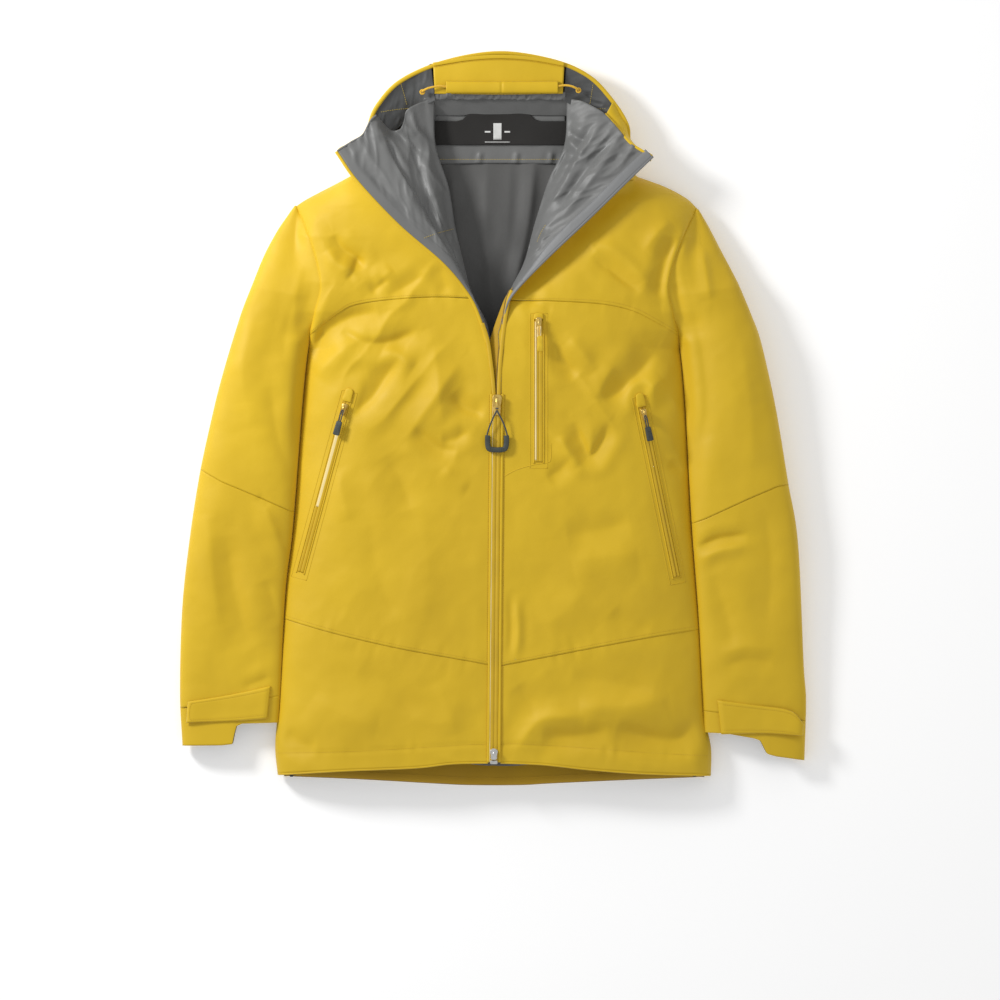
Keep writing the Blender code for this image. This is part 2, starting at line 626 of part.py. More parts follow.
clear_scene()
PARTS = collection("hardshell_jacket")
CUTTERS = collection("cutters")
FINISHES = {
    "shell_yellow": material("shell_yellow", (0.71, 0.50, 0.04), 0.55),
    "backer_grey": material("backer_grey", (0.18, 0.19, 0.195), 0.6),
    "hood_grey": material("hood_grey", (0.09, 0.096, 0.1), 0.6),
    "zip_film": material("zip_film", (0.58, 0.35, 0.01), 0.3),
    "zip_teeth": material("zip_teeth", (0.35, 0.22, 0.02), 0.45),
    "slider_bronze": material("slider_bronze", (0.30, 0.20, 0.05), 0.35, 1.0),
    "slider_silver": material("slider_silver", (0.6, 0.6, 0.58), 0.3, 1.0),
    "grip_rubber": material("grip_rubber", (0.07, 0.085, 0.08), 0.6),
    "cord_yellow": material("cord_yellow", (0.6, 0.33, 0.02), 0.7),
    "cord_dark": material("cord_dark", (0.03, 0.035, 0.035), 0.7),
    "label_black": material("label_black", (0.03, 0.028, 0.026), 0.8),
    "hook_orange": material("hook_orange", (0.6, 0.3, 0.02), 0.9),
    "eyelet_metal": material("eyelet_metal", (0.25, 0.24, 0.22), 0.35, 1.0),
    "moulded_black": material("moulded_black", (0.03, 0.03, 0.03), 0.5),
}
make_back()
make_neck()
make_hood()
make_main_zip()
make_chest_pocket()
for each_side in SIGN:
    front = make_front(each_side)
    cut(front["front_panel"], slot_cutter(f"{each_side}_hand_slot", HAND_ZIP[each_side], 5.0))
    if each_side == "left":
        cut(front["front_panel"], slot_cutter("chest_slot", CHEST_ZIP, 5.0))
    make_lapel(each_side)
    make_hem_cord_lock(each_side)
    make_sleeve(each_side)
    make_cuff_tab(each_side)
    make_hand_pocket(each_side)
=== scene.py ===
"""The looks of the hardshell jacket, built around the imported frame.

Plan outlines are in millimetres as (x, y), as in the part's own design, and MM turns them into metres.
The front lies face up: +X is the wearer's left, +Y the hood and +Z out of the chest.
"""

import math

import bpy
import numpy as np
from mathutils import Matrix, Vector
from mathutils.kdtree import KDTree


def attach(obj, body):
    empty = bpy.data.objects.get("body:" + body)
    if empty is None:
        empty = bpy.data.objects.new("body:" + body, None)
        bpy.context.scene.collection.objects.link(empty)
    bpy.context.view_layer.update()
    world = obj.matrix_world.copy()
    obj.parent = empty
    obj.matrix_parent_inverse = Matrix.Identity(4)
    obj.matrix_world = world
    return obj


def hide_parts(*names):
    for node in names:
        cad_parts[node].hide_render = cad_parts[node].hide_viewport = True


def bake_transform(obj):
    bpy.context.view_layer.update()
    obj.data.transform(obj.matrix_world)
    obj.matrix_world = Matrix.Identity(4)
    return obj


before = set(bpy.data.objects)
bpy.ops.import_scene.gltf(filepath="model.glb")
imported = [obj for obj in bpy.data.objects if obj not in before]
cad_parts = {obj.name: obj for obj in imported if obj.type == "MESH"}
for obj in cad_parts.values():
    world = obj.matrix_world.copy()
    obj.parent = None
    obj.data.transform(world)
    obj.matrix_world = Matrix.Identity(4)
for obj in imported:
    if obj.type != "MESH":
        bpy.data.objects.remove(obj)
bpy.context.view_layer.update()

MM = 0.001
CLOTH = 0.55  # thickness of the bonded cloth
STEP = 2.4  # spacing of the points of a cloth surface
FLOOR_GAP = 0.4  # height of the lowest cloth above the floor
FLOOR_REACH = 6000  # half the width of the studio floor

# ---------------------------------------------------------------- outlines

SIDE = {
    "right": [(-262, -433), (-265, -398), (-261, -344), (-254, -212), (-245, -132), (-233, 22), (-226, 88)],
    "left": [(265, -434), (265, -400), (257, -355), (252, -250), (243, -124), (235, 22), (229, 86)],
}
ARMHOLE = {
    "right": [(-226, 88), (-217, 130), (-210, 166), (-223, 218), (-240, 259)],
    "left": [(229, 86), (219, 130), (214, 166), (230, 218), (249, 256)],
}
SHOULDER = {
    "right": [(-240, 259), (-227, 267.5), (-200, 281.5), (-172, 294)],
    "left": [(249, 256), (235, 269), (209, 283), (176, 295)],
}
YOKE_SEAM = {
    "right": [(-222, 104), (-187, 130), (-166, 140), (-121, 146), (-72, 148), (-30, 146)],
    "left": [(224, 104), (198, 119), (172, 132), (138, 140), (87, 143), (28, 144)],
}
LOWER_SEAM = {
    "right": [(-256, -241), (-194, -259), (-118, -277), (-32, -293), (-6, -298)],
    "left": [(252, -254), (202, -262), (137, -274), (71, -287), (10, -299)],
}
HEM = {
    "right": [(-262, -433), (-185, -428), (-95, -424), (-50, -419), (-6, -418)],
    "left": [(265, -434), (180, -431), (115, -426), (60, -420), (9, -418)],
}
BACK_HEM = [(-255, -436), (-162, -440), (-73, -445), (-28, -447), (33, -447), (71, -445), (159, -441),
            (258, -437)]
LAPEL_RIM = {
    "right": [(-6, 92, 59), (-14, 120, 60), (-28, 150, 62), (-59, 188, 68), (-113, 235, 71), (-163, 288, 69),
              (-189, 325, 63)],
    "left": [(7, 100, 59), (12, 122, 60), (22, 150, 63), (60, 191, 69), (118, 246, 72), (163, 290, 70),
             (193, 319, 63)],
}
LAPEL_INSIDE = {
    "right": [(-3, 94, 52), (-8, 118, 44), (-27, 157, 42), (-39, 204, 34), (-46, 234, 30), (-54, 283, 27),
              (-70, 335, 26), (-72, 379, 24)],
    "left": [(5, 101, 52), (9, 122, 46), (21, 157, 42), (38, 192, 36), (51, 239, 30), (68, 292, 27),
             (87, 335, 26), (92, 379, 24)],
}
SLEEVE_OUTER = {
    "right": [(-242, 261), (-252, 249), (-264, 233), (-279, 207), (-293, 174), (-309, 133), (-331, 59),
              (-345, -2), (-357, -63), (-369, -139), (-379, -229), (-382, -332), (-379, -398)],
    "left": [(251, 256), (264, 236), (279, 209), (291, 187), (301, 167), (315, 133), (326, 102), (340, 40),
             (350, -15), (360, -78), (372, -152), (379, -298), (382, -344), (380, -416)],
}
SIGN = {"right": -1, "left": 1}
ZIP_TOP, ZIP_FOOT = (5.0, 30.0), (1.0, -417.0)
HEM_HEIGHT, CHEST_HEIGHT = 45.0, 60.0
SIDE_HEIGHT, SHOULDER_HEIGHT, SHOULDER_FALL = 16.0, 18.0, 34.0
CHEST_ZIP = ((55.5, 127.0), (55.5, -54.0))
HAND_ZIP = {"right": ((-173.0, 38.0), (-235.0, -189.0)), "left": ((177.0, 32.0), (224.0, -195.0))}
SLEEVE_THICK = [(-420, 27), (-320, 31), (-200, 38), (-60, 46), (60, 50), (160, 50), (250, 23), (262, 18)]

# ---------------------------------------------------------------- curves and noise


def smooth(points, count=None, step=STEP):
    """Evenly spaced points on a smooth curve through the given ones."""
    points = np.array(points, float)
    padded = np.vstack([2 * points[0] - points[1], points, 2 * points[-1] - points[-2]])
    dense = []
    t = np.linspace(0, 1, 24, endpoint=False)[:, None]
    for i in range(1, len(points)):
        a, b, c, d = padded[i - 1 : i + 3]
        dense.append(0.5 * (2 * b + (c - a) * t + (2 * a - 5 * b + 4 * c - d) * t**2
                            + (3 * b - a - 3 * c + d) * t**3))
    dense = np.vstack(dense + [points[-1:]])
    length = np.concatenate([[0], np.cumsum(np.linalg.norm(np.diff(dense, axis=0), axis=1))])
    count = count or max(2, int(length[-1] / step) + 1)
    wanted = np.linspace(0, length[-1], count)
    return np.stack([np.interp(wanted, length, dense[:, k]) for k in range(dense.shape[1])], axis=1)


def blended_patch(bottom, top, start, end, cols, rows):
    """A patch between four edge curves."""
    share = np.linspace(0, 1, cols)
    fine = np.linspace(0, 1, 400)
    ends = [smooth(line, len(fine)) for line in (bottom, top)]
    bottom, top = (np.stack([np.interp(share, fine, line[:, k]) for k in range(line.shape[1])], axis=1)
                   for line in ends)
    start, end = smooth(start, rows), smooth(end, rows)
    u, v = share[None, :, None], np.linspace(0, 1, rows)[:, None, None]
    ruled = (1 - v) * bottom[None] + v * top[None] + (1 - u) * start[:, None] + u * end[:, None]
    corners = ((1 - u) * (1 - v) * bottom[0] + u * (1 - v) * bottom[-1] + (1 - u) * v * top[0]
               + u * v * top[-1])
    return ruled - corners


def ruled_patch(bottom, top, cols, rows):
    """A patch between two curves, with straight lines at its ends."""
    return blended_patch(bottom, top, [bottom[0], top[0]], [bottom[-1], top[-1]], cols, rows)


def noise(x, y, size, seed):
    """Smooth noise from -1 to 1 whose bumps are about size wide."""
    lattice = np.random.RandomState(seed).uniform(-1, 1, (97, 97))
    gx, gy = np.asarray(x) / size + 40.3, np.asarray(y) / size + 40.7
    ix, iy = np.floor(gx).astype(int), np.floor(gy).astype(int)
    fx, fy = gx - ix, gy - iy
    fx, fy = fx**3 * (fx * (fx * 6 - 15) + 10), fy**3 * (fy * (fy * 6 - 15) + 10)
    ix, iy = ix % 96, iy % 96
    low = lattice[ix, iy] * (1 - fx) + lattice[ix + 1, iy] * fx
    high = lattice[ix, iy + 1] * (1 - fx) + lattice[ix + 1, iy + 1] * fx
    return low * (1 - fy) + high * fy


def along(x, y, path):
    """Signed distance of each point to a path in plan, and how far along it that is, from 0 to 1."""
    path = np.array(path, float)[:, :2]
    x, y = np.asarray(x, float), np.asarray(y, float)
    best = np.full(x.shape, 1e9)
    signed, place = np.zeros(x.shape), np.zeros(x.shape)
    lengths = np.linalg.norm(np.diff(path, axis=0), axis=1)
    total, done = lengths.sum(), 0.0
    for (ax, ay), (bx, by), size in zip(path[:-1], path[1:], lengths):
        ux, uy = (bx - ax) / size, (by - ay) / size
        t = np.clip((x - ax) * ux + (y - ay) * uy, 0, size)
        dx, dy = x - ax - t * ux, y - ay - t * uy
        away = np.hypot(dx, dy)
        near = away < best
        best = np.where(near, away, best)
        signed = np.where(near, np.where(ux * dy - uy * dx < 0, -away, away), signed)
        place = np.where(near, (done + t) / total, place)
        done += size
    return signed, place


def ease(value, low, high):
    share = np.clip((value - low) / (high - low), 0, 1)
    return share * share * (3 - 2 * share)


def fold_height(x, y, folds):
    """Sum of folds, each (height, width, skew, path): a soft ridge or, below 0, a valley.

    Skew makes the left flank of the path steeper, so that the fold leans as loose cloth does.
    """
    total = np.zeros(np.shape(x))
    for height, width, skew, path in folds:
        away, place = along(x, y, smooth(path, 4 * len(path)) if len(path) > 2 else path)
        side = width * (1 - skew * np.tanh(away / width * 2))
        taper = np.clip(np.minimum(place, 1 - place) * 3.2 + 0.12, 0, 1)
        crease = np.exp(0.22 - 1.25 * np.sqrt((away / side) ** 2 + 0.03))
        hollow = np.exp(-(((np.abs(away) - 2.1 * width) / width) ** 2))
        profile = 0.45 * np.exp(-((away / side) ** 2)) + 0.6 * crease - 0.28 * hollow
        total += height * profile * np.sin(taper * math.pi / 2)
    return total


def crinkle(x, y, angle, long, short, seed):
    """Sharp little ridges that run along a direction, as in crumpled laminate."""
    c, s = math.cos(math.radians(angle)), math.sin(math.radians(angle))
    u, v = np.asarray(x) * c + np.asarray(y) * s, np.asarray(y) * c - np.asarray(x) * s
    u, v = u + 5 * noise(u, v, 31, seed + 1), v + 4 * noise(u, v, 27, seed + 2)
    return 0.55 - 1.7 * np.abs(noise(u * short / long, v, short, seed))


# ---------------------------------------------------------------- the front's surface

EDGES = {side: smooth(SIDE[side] + ARMHOLE[side][1:], 500) for side in SIGN}
SHOULDER_LINES = {side: smooth(SHOULDER[side], 40) for side in SIGN}


def edge_x(x, y):
    """Where the front ends sideways, on the side of each point."""
    right, left = (np.interp(y, EDGES[side][:, 1], EDGES[side][:, 0]) for side in ("right", "left"))
    return np.where(np.asarray(x) > 0, left, right)


ARMHOLE_HEIGHTS = ([86, 108, 130, 166, 222, 256], [SIDE_HEIGHT, 36, 46, 51, 42, SHOULDER_HEIGHT])


def smooth_front(x, y):
    """Height of the front's outer face without its folds."""
    x, y = np.asarray(x, float), np.asarray(y, float)
    crown = np.interp(y, [ZIP_FOOT[1], ZIP_TOP[1]], [HEM_HEIGHT, CHEST_HEIGHT])
    edge = np.interp(y, *ARMHOLE_HEIGHTS)
    across = np.clip(x / edge_x(x, y), 0, 1)
    height = edge + (crown - edge) * np.sqrt(1 - across**4)
    depth = np.full(x.shape, 99.0)
    for line in SHOULDER_LINES.values():
        depth = np.minimum(depth, np.abs(along(x, y, line)[0]))
    near = np.where(y > 190, np.clip(depth / SHOULDER_FALL, 0, 1), 1)
    return SHOULDER_HEIGHT + (height - SHOULDER_HEIGHT) * np.sqrt(1 - (1 - near) ** 2)


FRONT_FOLDS = [
    # yoke, wearer's right
    (-3.2, 8, 0.3, [(-193, 224), (-184, 207), (-165, 194), (-158, 181)]),
    (2.8, 10, 0.2, [(-200, 206), (-190, 189), (-174, 180), (-162, 167)]),
    (-2.4, 6, -0.3, [(-163, 198), (-170, 177), (-178, 168)]),
    (-2.4, 7, 0.3, [(-128, 170), (-138, 162), (-148, 153)]),
    (2.0, 9, 0.2, [(-122, 182), (-134, 172), (-144, 164)]),
    (1.6, 16, 0.2, [(-120, 238), (-96, 214), (-76, 192)]),
    (-2.2, 8, 0.2, [(-84, 176), (-106, 161), (-128, 150)]),
    (-1.8, 8, 0.2, [(-64, 186), (-60, 168), (-56, 152)]),
    # chest, wearer's right
    (-5.5, 15, 0.35, [(-226, 78), (-205, 104), (-176, 122), (-140, 130)]),
    (3.6, 15, 0.2, [(-214, 52), (-196, 72), (-170, 92), (-148, 96)]),
    (-4.6, 10, 0.35, [(-184, 108), (-158, 93), (-126, 93), (-94, 106)]),
    (3.4, 14, 0.3, [(-134, 84), (-112, 72), (-96, 62)]),
    (-5.0, 12, 0.3, [(-112, 78), (-132, 50), (-150, 24), (-176, 4)]),
    (3.6, 13, 0.3, [(-42, 68), (-68, 30), (-104, -20)]),
    (3.0, 13, 0.1, [(-72, 88), (-66, 40), (-62, -8)]),
    (-3.6, 10, -0.3, [(-50, 30), (-34, 14), (-10, 6)]),
    (-3.8, 11, 0.3, [(-96, -12), (-70, -34), (-44, -40)]),
    (-2.6, 8, 0.2, [(-30, -14), (-46, -24), (-62, -26)]),
    (2.2, 12, 0.1, [(-60, -60), (-44, -76), (-30, -84)]),
    (-2.6, 15, 0.1, [(-130, -44), (-112, -74), (-100, -110)]),
    (1.8, 12, 0.1, [(-190, -60), (-184, -92), (-176, -124)]),
    (-1.6, 18, 0.1, [(-150, -130), (-140, -190), (-120, -246)]),
    (1.5, 20, 0.1, [(-86, -120), (-80, -180), (-84, -250)]),
    # yoke, wearer's left
    (-3.6, 9, -0.3, [(122, 200), (146, 178), (180, 154)]),
    (2.8, 13, 0.2, [(126, 214), (160, 196), (184, 168)]),
    (2.8, 11, 0.2, [(184, 204), (200, 226), (216, 240)]),
    (-5.0, 10, 0.3, [(224, 220), (213, 196), (206, 166), (206, 146)]),
    (-3.0, 9, 0.2, [(44, 150), (56, 136), (72, 132)]),
    # chest, wearer's left
    (-3.8, 11, 0.3, [(70, 92), (84, 74), (104, 52)]),
    (2.6, 11, 0.2, [(92, 96), (108, 80), (124, 58)]),
    (-4.6, 13, 0.35, [(196, 82), (178, 58), (158, 38), (134, 26)]),
    (3.2, 12, 0.2, [(206, 50), (184, 30), (166, 8)]),
    (2.6, 11, 0.2, [(146, 66), (134, 44), (124, 24)]),
    (-4.2, 9, 0.35, [(98, -4), (108, -30), (118, -46), (132, -28), (142, -6)]),
    (2.4, 8, 0.2, [(82, -20), (92, -44), (104, -58)]),
    (-2.2, 9, 0.2, [(66, -72), (82, -62), (96, -46)]),
    (-2.6, 20, 0.2, [(90, -142), (126, -136), (166, -126)]),
    (2.0, 18, 0.2, [(96, -176), (130, -168), (176, -164)]),
    (-2.0, 7, 0.2, [(214, -52), (228, -60), (242, -64)]),
    (-1.6, 5, 0.0, [(20, -216), (22, -252), (20, -284)]),
    (1.6, 5, 0.0, [(28, -222), (31, -256), (28, -290)]),
    (-2.0, 13, 0.2, [(146, -232), (164, -248), (192, -258)]),
    (1.8, 20, 0.1, [(110, -210), (84, -236), (60, -252)]),
    # hem panels
    (3.6, 13, 0.35, [(30, -402), (46, -378), (66, -364), (110, -364)]),
    (-3.6, 13, 0.2, [(60, -384), (96, -386), (140, -380)]),
    (4.0, 20, 0.3, [(104, -352), (160, -350), (214, -340)]),
    (-5.2, 15, 0.3, [(150, -376), (190, -388), (222, -390), (246, -372)]),
    (-2.4, 17, 0.1, [(96, -312), (150, -322), (196, -330)]),
    (-2.2, 14, 0.2, [(30, -324), (44, -344), (50, -366)]),
    (-2.4, 11, 0.2, [(-252, -380), (-236, -394), (-216, -400)]),
    (2.2, 20, 0.2, [(-220, -340), (-180, -362), (-140, -372)]),
    (-2.0, 17, 0.2, [(-160, -300), (-120, -330), (-96, -366)]),
    (1.8, 14, 0.1, [(-70, -320), (-56, -350), (-46, -384)]),
]
FOLD_GAIN = 1.3
PUCKERED = [(YOKE_SEAM["right"], 3), (YOKE_SEAM["left"], 4), (LOWER_SEAM["right"], 5),
            (LOWER_SEAM["left"], 6)]
HEM_STITCH = {
    "right": [(-263, -407), (-163, -404), (-95, -400), (-30, -396), (-8, -396)],
    "left": [(263, -410), (202, -407), (126, -401), (32, -395), (9, -396)],
}


def puckers(x, y, path, seed, reach=11.0, tall=1.0):
    """Small ripples that run out from a seam."""
    away, place = along(x, y, smooth(path, 60))
    run = place * np.linalg.norm(np.diff(smooth(path, 60), axis=0), axis=1).sum()
    waves = noise(run, away * 0.35, 7.5, seed) * np.clip(0.5 + noise(run, 0 * run, 46, seed + 40), 0, 1.2)
    return tall * waves * np.exp(-np.abs(away) / reach)


def calm_near_zips(x, y):
    """1 away from the zips, falling to 0 on them, where stiff tape holds the cloth flat."""
    away = np.abs(along(x, y, [ZIP_TOP, ZIP_FOOT])[0])
    away = np.minimum(away, np.abs(along(x, y, [(-14, 110), ZIP_TOP])[0]) + 2)
    calm = ease(away, 6, 24)
    for line in (CHEST_ZIP, HAND_ZIP["right"], HAND_ZIP["left"]):
        calm = calm * (0.05 + 0.95 * ease(np.abs(along(x, y, line)[0]), 5, 20))
    return calm


RIM_LINES = {side: smooth(LAPEL_RIM[side], 80) for side in SIGN}


def rim_distance(x, y):
    return np.minimum(*(np.abs(along(x, y, line)[0]) for line in RIM_LINES.values()))


def rim_rise(x, y):
    """How the front's edge meets the open lapel: it stands up on the right, and dips under it on the left."""
    rise = np.zeros(np.shape(x))
    for side, line in RIM_LINES.items():
        away, place = along(x, y, line)
        mine = (np.asarray(x) * SIGN[side] > 0) * ease(y, 60, 130)
        if side == "right":
            target = np.interp(place, np.linspace(0, 1, 80), line[:, 2]) - 1.2
            change = (target - smooth_front(x, y)) * np.exp(-((np.abs(away) / 19) ** 1.6))
        else:
            change = -15.0 * np.exp(-((np.abs(away) / 26) ** 2)) * ease(y, 110, 170) * (1 - ease(y, 270, 300))
        rise = rise + change * mine
    return rise


def front_z(x, y):
    """Height of the front's outer face, with its folds."""
    x, y = np.asarray(x, float), np.asarray(y, float)
    across = np.clip(x / edge_x(x, y), 0, 1)
    inside = ease(1 - across, 0.0, 0.07)
    soft = 1.3 * noise(x + 14 * noise(x, y, 90, 1), y, 74, 2)
    soft = soft + 0.5 * noise(x, y + 9 * noise(x, y, 50, 9), 30, 7)
    fine = 0.22 * noise(x, y, 13, 12)
    lean = np.where(x < 0, crinkle(x, y, 52, 120, 36, 15), crinkle(x, y, 128, 120, 36, 17))
    pull = ease(y, -120, 40) * (1 - ease(y, 190, 250)) * ease(np.abs(x), 20, 90)
    low_pull = 1 - ease(y, -330, -250)
    soft = soft + (0.35 + 1.5 * pull) * lean + 0.9 * low_pull * crinkle(x, y, 160, 100, 38, 19)
    shape = (FOLD_GAIN * fold_height(x, y, FRONT_FOLDS) + soft + fine) * calm_near_zips(x, y)
    for path, seed in PUCKERED:
        shape = shape + puckers(x, y, path, seed)
    for path, seed in ((HEM_STITCH["right"], 21), (HEM_STITCH["left"], 22)):
        away, _ = along(x, y, path)
        shape = shape + puckers(x, y, path, seed, 7, 0.9) - 0.7 * np.exp(-((away / 2.2) ** 2))
    rim = 1 - 0.75 * np.exp(-((np.abs(rim_distance(x, y)) / 12) ** 2))
    return smooth_front(x, y) + rim_rise(x, y) + shape * inside * rim


# ---------------------------------------------------------------- meshes


def mesh_piece(name, points, faces, materials, uvs=None):
    """A smooth-shaded mesh object from points in millimetres, with UVs in metres."""
    mesh = bpy.data.meshes.new(name)
    faces = faces.tolist() if isinstance(faces, np.ndarray) else faces
    mesh.from_pydata((np.asarray(points, float) * MM).tolist(), [], faces)
    mesh.polygons.foreach_set("use_smooth", [True] * len(mesh.polygons))
    if uvs is not None:
        layer = mesh.uv_layers.new(name="cloth")
        corner = np.empty(len(mesh.loops), int)
        mesh.loops.foreach_get("vertex_index", corner)
        layer.data.foreach_set("uv", (np.asarray(uvs, float)[corner] * MM).ravel())
    for finish in materials:
        mesh.materials.append(FINISH[finish])
    mesh.update()
    obj = bpy.data.objects.new(name, mesh)
    bpy.context.scene.collection.objects.link(obj)
    return obj


def settle(obj):
    """Applies the object's modifiers, so that its mesh is final."""
    graph = bpy.context.evaluated_depsgraph_get()
    final = bpy.data.meshes.new_from_object(obj.evaluated_get(graph))
    old = obj.data
    obj.modifiers.clear()
    obj.data = final
    bpy.data.meshes.remove(old)
    return obj


def grid_faces(rows, cols, ring=False, flip=False):
    last = cols if ring else cols - 1
    r, c = np.meshgrid(np.arange(rows - 1), np.arange(last), indexing="ij")
    d = (c + 1) % cols
    faces = np.stack([r * cols + c, r * cols + d, (r + 1) * cols + d, (r + 1) * cols + c],
                     axis=-1).reshape(-1, 4)
    return faces[:, ::-1] if flip else faces


def cloth(name, grid, outer="shell", inner="backer", ring=False, flip=False, thick=CLOTH, uvs=None):
    """A sheet on a grid of points. Its outer face is on the grid, and its inner face has its own material."""
    rows, cols = grid.shape[:2]
    if uvs is None:
        uvs = grid[..., :2]
    obj = mesh_piece(name, grid.reshape(-1, 3), grid_faces(rows, cols, ring, flip), [outer, inner],
                     np.asarray(uvs).reshape(-1, 2))
    wall = obj.modifiers.new("cloth", "SOLIDIFY")
    wall.thickness = thick * MM
    wall.offset = -1
    wall.material_offset = 1
    wall.material_offset_rim = 0
    return settle(obj)


def strip(name, path, profile, finish, up=(0, 0, 1), closed=False, sizes=None):
    """A cross-section swept along a path. The profile is (across, height) points, in millimetres.

    Sizes, one for each point of the path, scale the profile there.
    """
    path = np.array(path, float)
    if closed:
        heading = np.roll(path, -1, axis=0) - np.roll(path, 1, axis=0)
    else:
        heading = np.gradient(path, axis=0)
    heading /= np.linalg.norm(heading, axis=1)[:, None]
    across = np.cross(heading, up)
    across /= np.linalg.norm(across, axis=-1)[:, None]
    lift = np.cross(across, heading)
    profile = np.array(profile, float)[None] * (1 if sizes is None else np.asarray(sizes)[:, None, None])
    points = path[:, None] + across[:, None] * profile[..., :1] + lift[:, None] * profile[..., 1:]
    rows, cols = points.shape[:2]
    if closed:
        points = np.concatenate([points, points[:1]])
        rows += 1
    faces = grid_faces(rows, cols, ring=True).tolist()
    flat = points.reshape(-1, 3)
    if closed:
        keep = (rows - 1) * cols
        faces = [[index % keep for index in face] for face in faces]
        flat = flat[:keep]
    else:
        faces.append(list(range(cols))[::-1])
        faces.append(list(range((rows - 1) * cols, rows * cols)))
    run = np.concatenate([[0], np.cumsum(np.linalg.norm(np.diff(path, axis=0), axis=1))])
    uv = np.stack(np.meshgrid(np.arange(cols) * 1.0, run, indexing="xy"), axis=-1).reshape(-1, 2)[: len(flat)]
    return mesh_piece(name, flat, faces, [finish], uv)


def round_profile(width, height, sides=12, power=1.0):
    """A closed oval cross-section, flatter with a power below 1."""
    points = []
    for k in range(sides):
        angle = -2 * math.pi * k / sides
        c, s = math.cos(angle), math.sin(angle)
        points.append((math.copysign(abs(c) ** power, c) * width / 2,
                       math.copysign(abs(s) ** power, s) * height / 2))
    return points


def joined(name, objects):
    """Joins objects into one piece, which keeps their materials."""
    mesh = bpy.data.meshes.new(name)
    points, faces, uvs, slots = [], [], [], []
    materials = []
    for obj in objects:
        base = len(points)
        points += [tuple(obj.matrix_world @ v.co) for v in obj.data.vertices]
        layer = obj.data.uv_layers[0].data if obj.data.uv_layers else None
        for polygon in obj.data.polygons:
            faces.append([base + v for v in polygon.vertices])
            finish = obj.data.materials[polygon.material_index]
            if finish not in materials:
                materials.append(finish)
            slots.append(materials.index(finish))
            for loop in polygon.loop_indices:
                uvs.append(tuple(layer[loop].uv) if layer else (0.0, 0.0))
    mesh.from_pydata(points, [], faces)
    mesh.polygons.foreach_set("use_smooth", [True] * len(mesh.polygons))
    mesh.uv_layers.new(name="cloth").data.foreach_set("uv", np.array(uvs).ravel())
    for finish in materials:
        mesh.materials.append(finish)
    mesh.polygons.foreach_set("material_index", slots)
    mesh.update()
    for obj in objects:
        bpy.data.objects.remove(obj, do_unlink=True)
    obj = bpy.data.objects.new(name, mesh)
    bpy.context.scene.collection.objects.link(obj)
    return obj


def stitches(name, path, finish="thread", pitch=3.0, length=2.1, thick=0.42, lift=0.12):
    """Thread that shows as a row of short stitches along a path of points in space."""
    path = np.array(path, float)
    run = np.concatenate([[0], np.cumsum(np.linalg.norm(np.diff(path, axis=0), axis=1))])
    starts = np.arange(0.5, run[-1] - length, pitch)
    points, faces = [], []
    at = lambda s: np.array([np.interp(s, run, path[:, k]) for k in range(3)])
    for start in starts:
        a, b = at(start), at(start + length)
        way = (b - a) / np.linalg.norm(b - a)
        side = np.cross(way, (0, 0, 1.0))
        side /= np.linalg.norm(side)
        rise = np.cross(side, way)
        base = len(points)
        for share, size, height in ((0, 0.35, 0), (0.25, 1, lift), (0.75, 1, lift), (1, 0.35, 0)):
            centre = a + (b - a) * share + rise * height
            for k in range(5):
                angle = -2 * math.pi * k / 5
                points.append(centre + (side * math.cos(angle) + rise * math.sin(angle)) * thick / 2 * size)
        for r in range(3):
            for k in range(5):
                n = (k + 1) % 5
                faces.append([base + r * 5 + k, base + r * 5 + n, base + (r + 1) * 5 + n,
                              base + (r + 1) * 5 + k])
        faces.append([base + k for k in range(5)][::-1])
        faces.append([base + 15 + k for k in range(5)])
    return mesh_piece(name, points, faces, [finish], np.zeros((len(points), 2)))


def tube(name, points, diameter, finish):
    """A round cord along a smooth line of points in millimetres."""
    return strip(name, points, round_profile(diameter, diameter, 10), finish, up=(0.013, 0.007, 1.0))


def place(obj, body="root", slot=None, nodes=()):
    """Rides a piece on its body and hides the frame's nodes that it stands for. Its slot is not used."""
    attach(obj, body)
    if nodes:
        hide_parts(*nodes)
    return obj


# ---------------------------------------------------------------- materials


def new_material(name, colour, roughness, metallic=0.0):
    made = bpy.data.materials.new(name)
    made.use_nodes = True
    shader = made.node_tree.nodes["Principled BSDF"]
    shader.inputs["Base Color"].default_value = (*colour, 1)
    shader.inputs["Roughness"].default_value = roughness
    shader.inputs["Metallic"].default_value = metallic
    return made, made.node_tree.nodes, made.node_tree.links, shader


def noise_node(nodes, links, coord, scale, detail=2.0, rough=0.5):
    made = nodes.new("ShaderNodeTexNoise")
    made.inputs["Scale"].default_value = scale
    made.inputs["Detail"].default_value = detail
    made.inputs["Roughness"].default_value = rough
    links.new(coord, made.inputs["Vector"])
    return made.outputs["Fac"]


def spread(nodes, links, value, low, high, source=(0.3, 0.7)):
    made = nodes.new("ShaderNodeMapRange")
    made.inputs["From Min"].default_value, made.inputs["From Max"].default_value = source
    made.inputs["To Min"].default_value, made.inputs["To Max"].default_value = low, high
    links.new(value, made.inputs["Value"])
    return made.outputs["Result"]


def maths(nodes, links, operation, a, b=None, c=None):
    made = nodes.new("ShaderNodeMath")
    made.operation = operation
    for socket, value in zip(made.inputs, (a, b, c)):
        if isinstance(value, (int, float)):
            socket.default_value = value
        elif value is not None:
            links.new(value, socket)
    return made.outputs["Value"]


def colour_between(nodes, links, share, low, high):
    made = nodes.new("ShaderNodeMix")
    made.data_type = "RGBA"
    made.inputs["A"].default_value = (*low, 1)
    made.inputs["B"].default_value = (*high, 1)
    links.new(share, made.inputs["Factor"])
    return made.outputs["Result"]


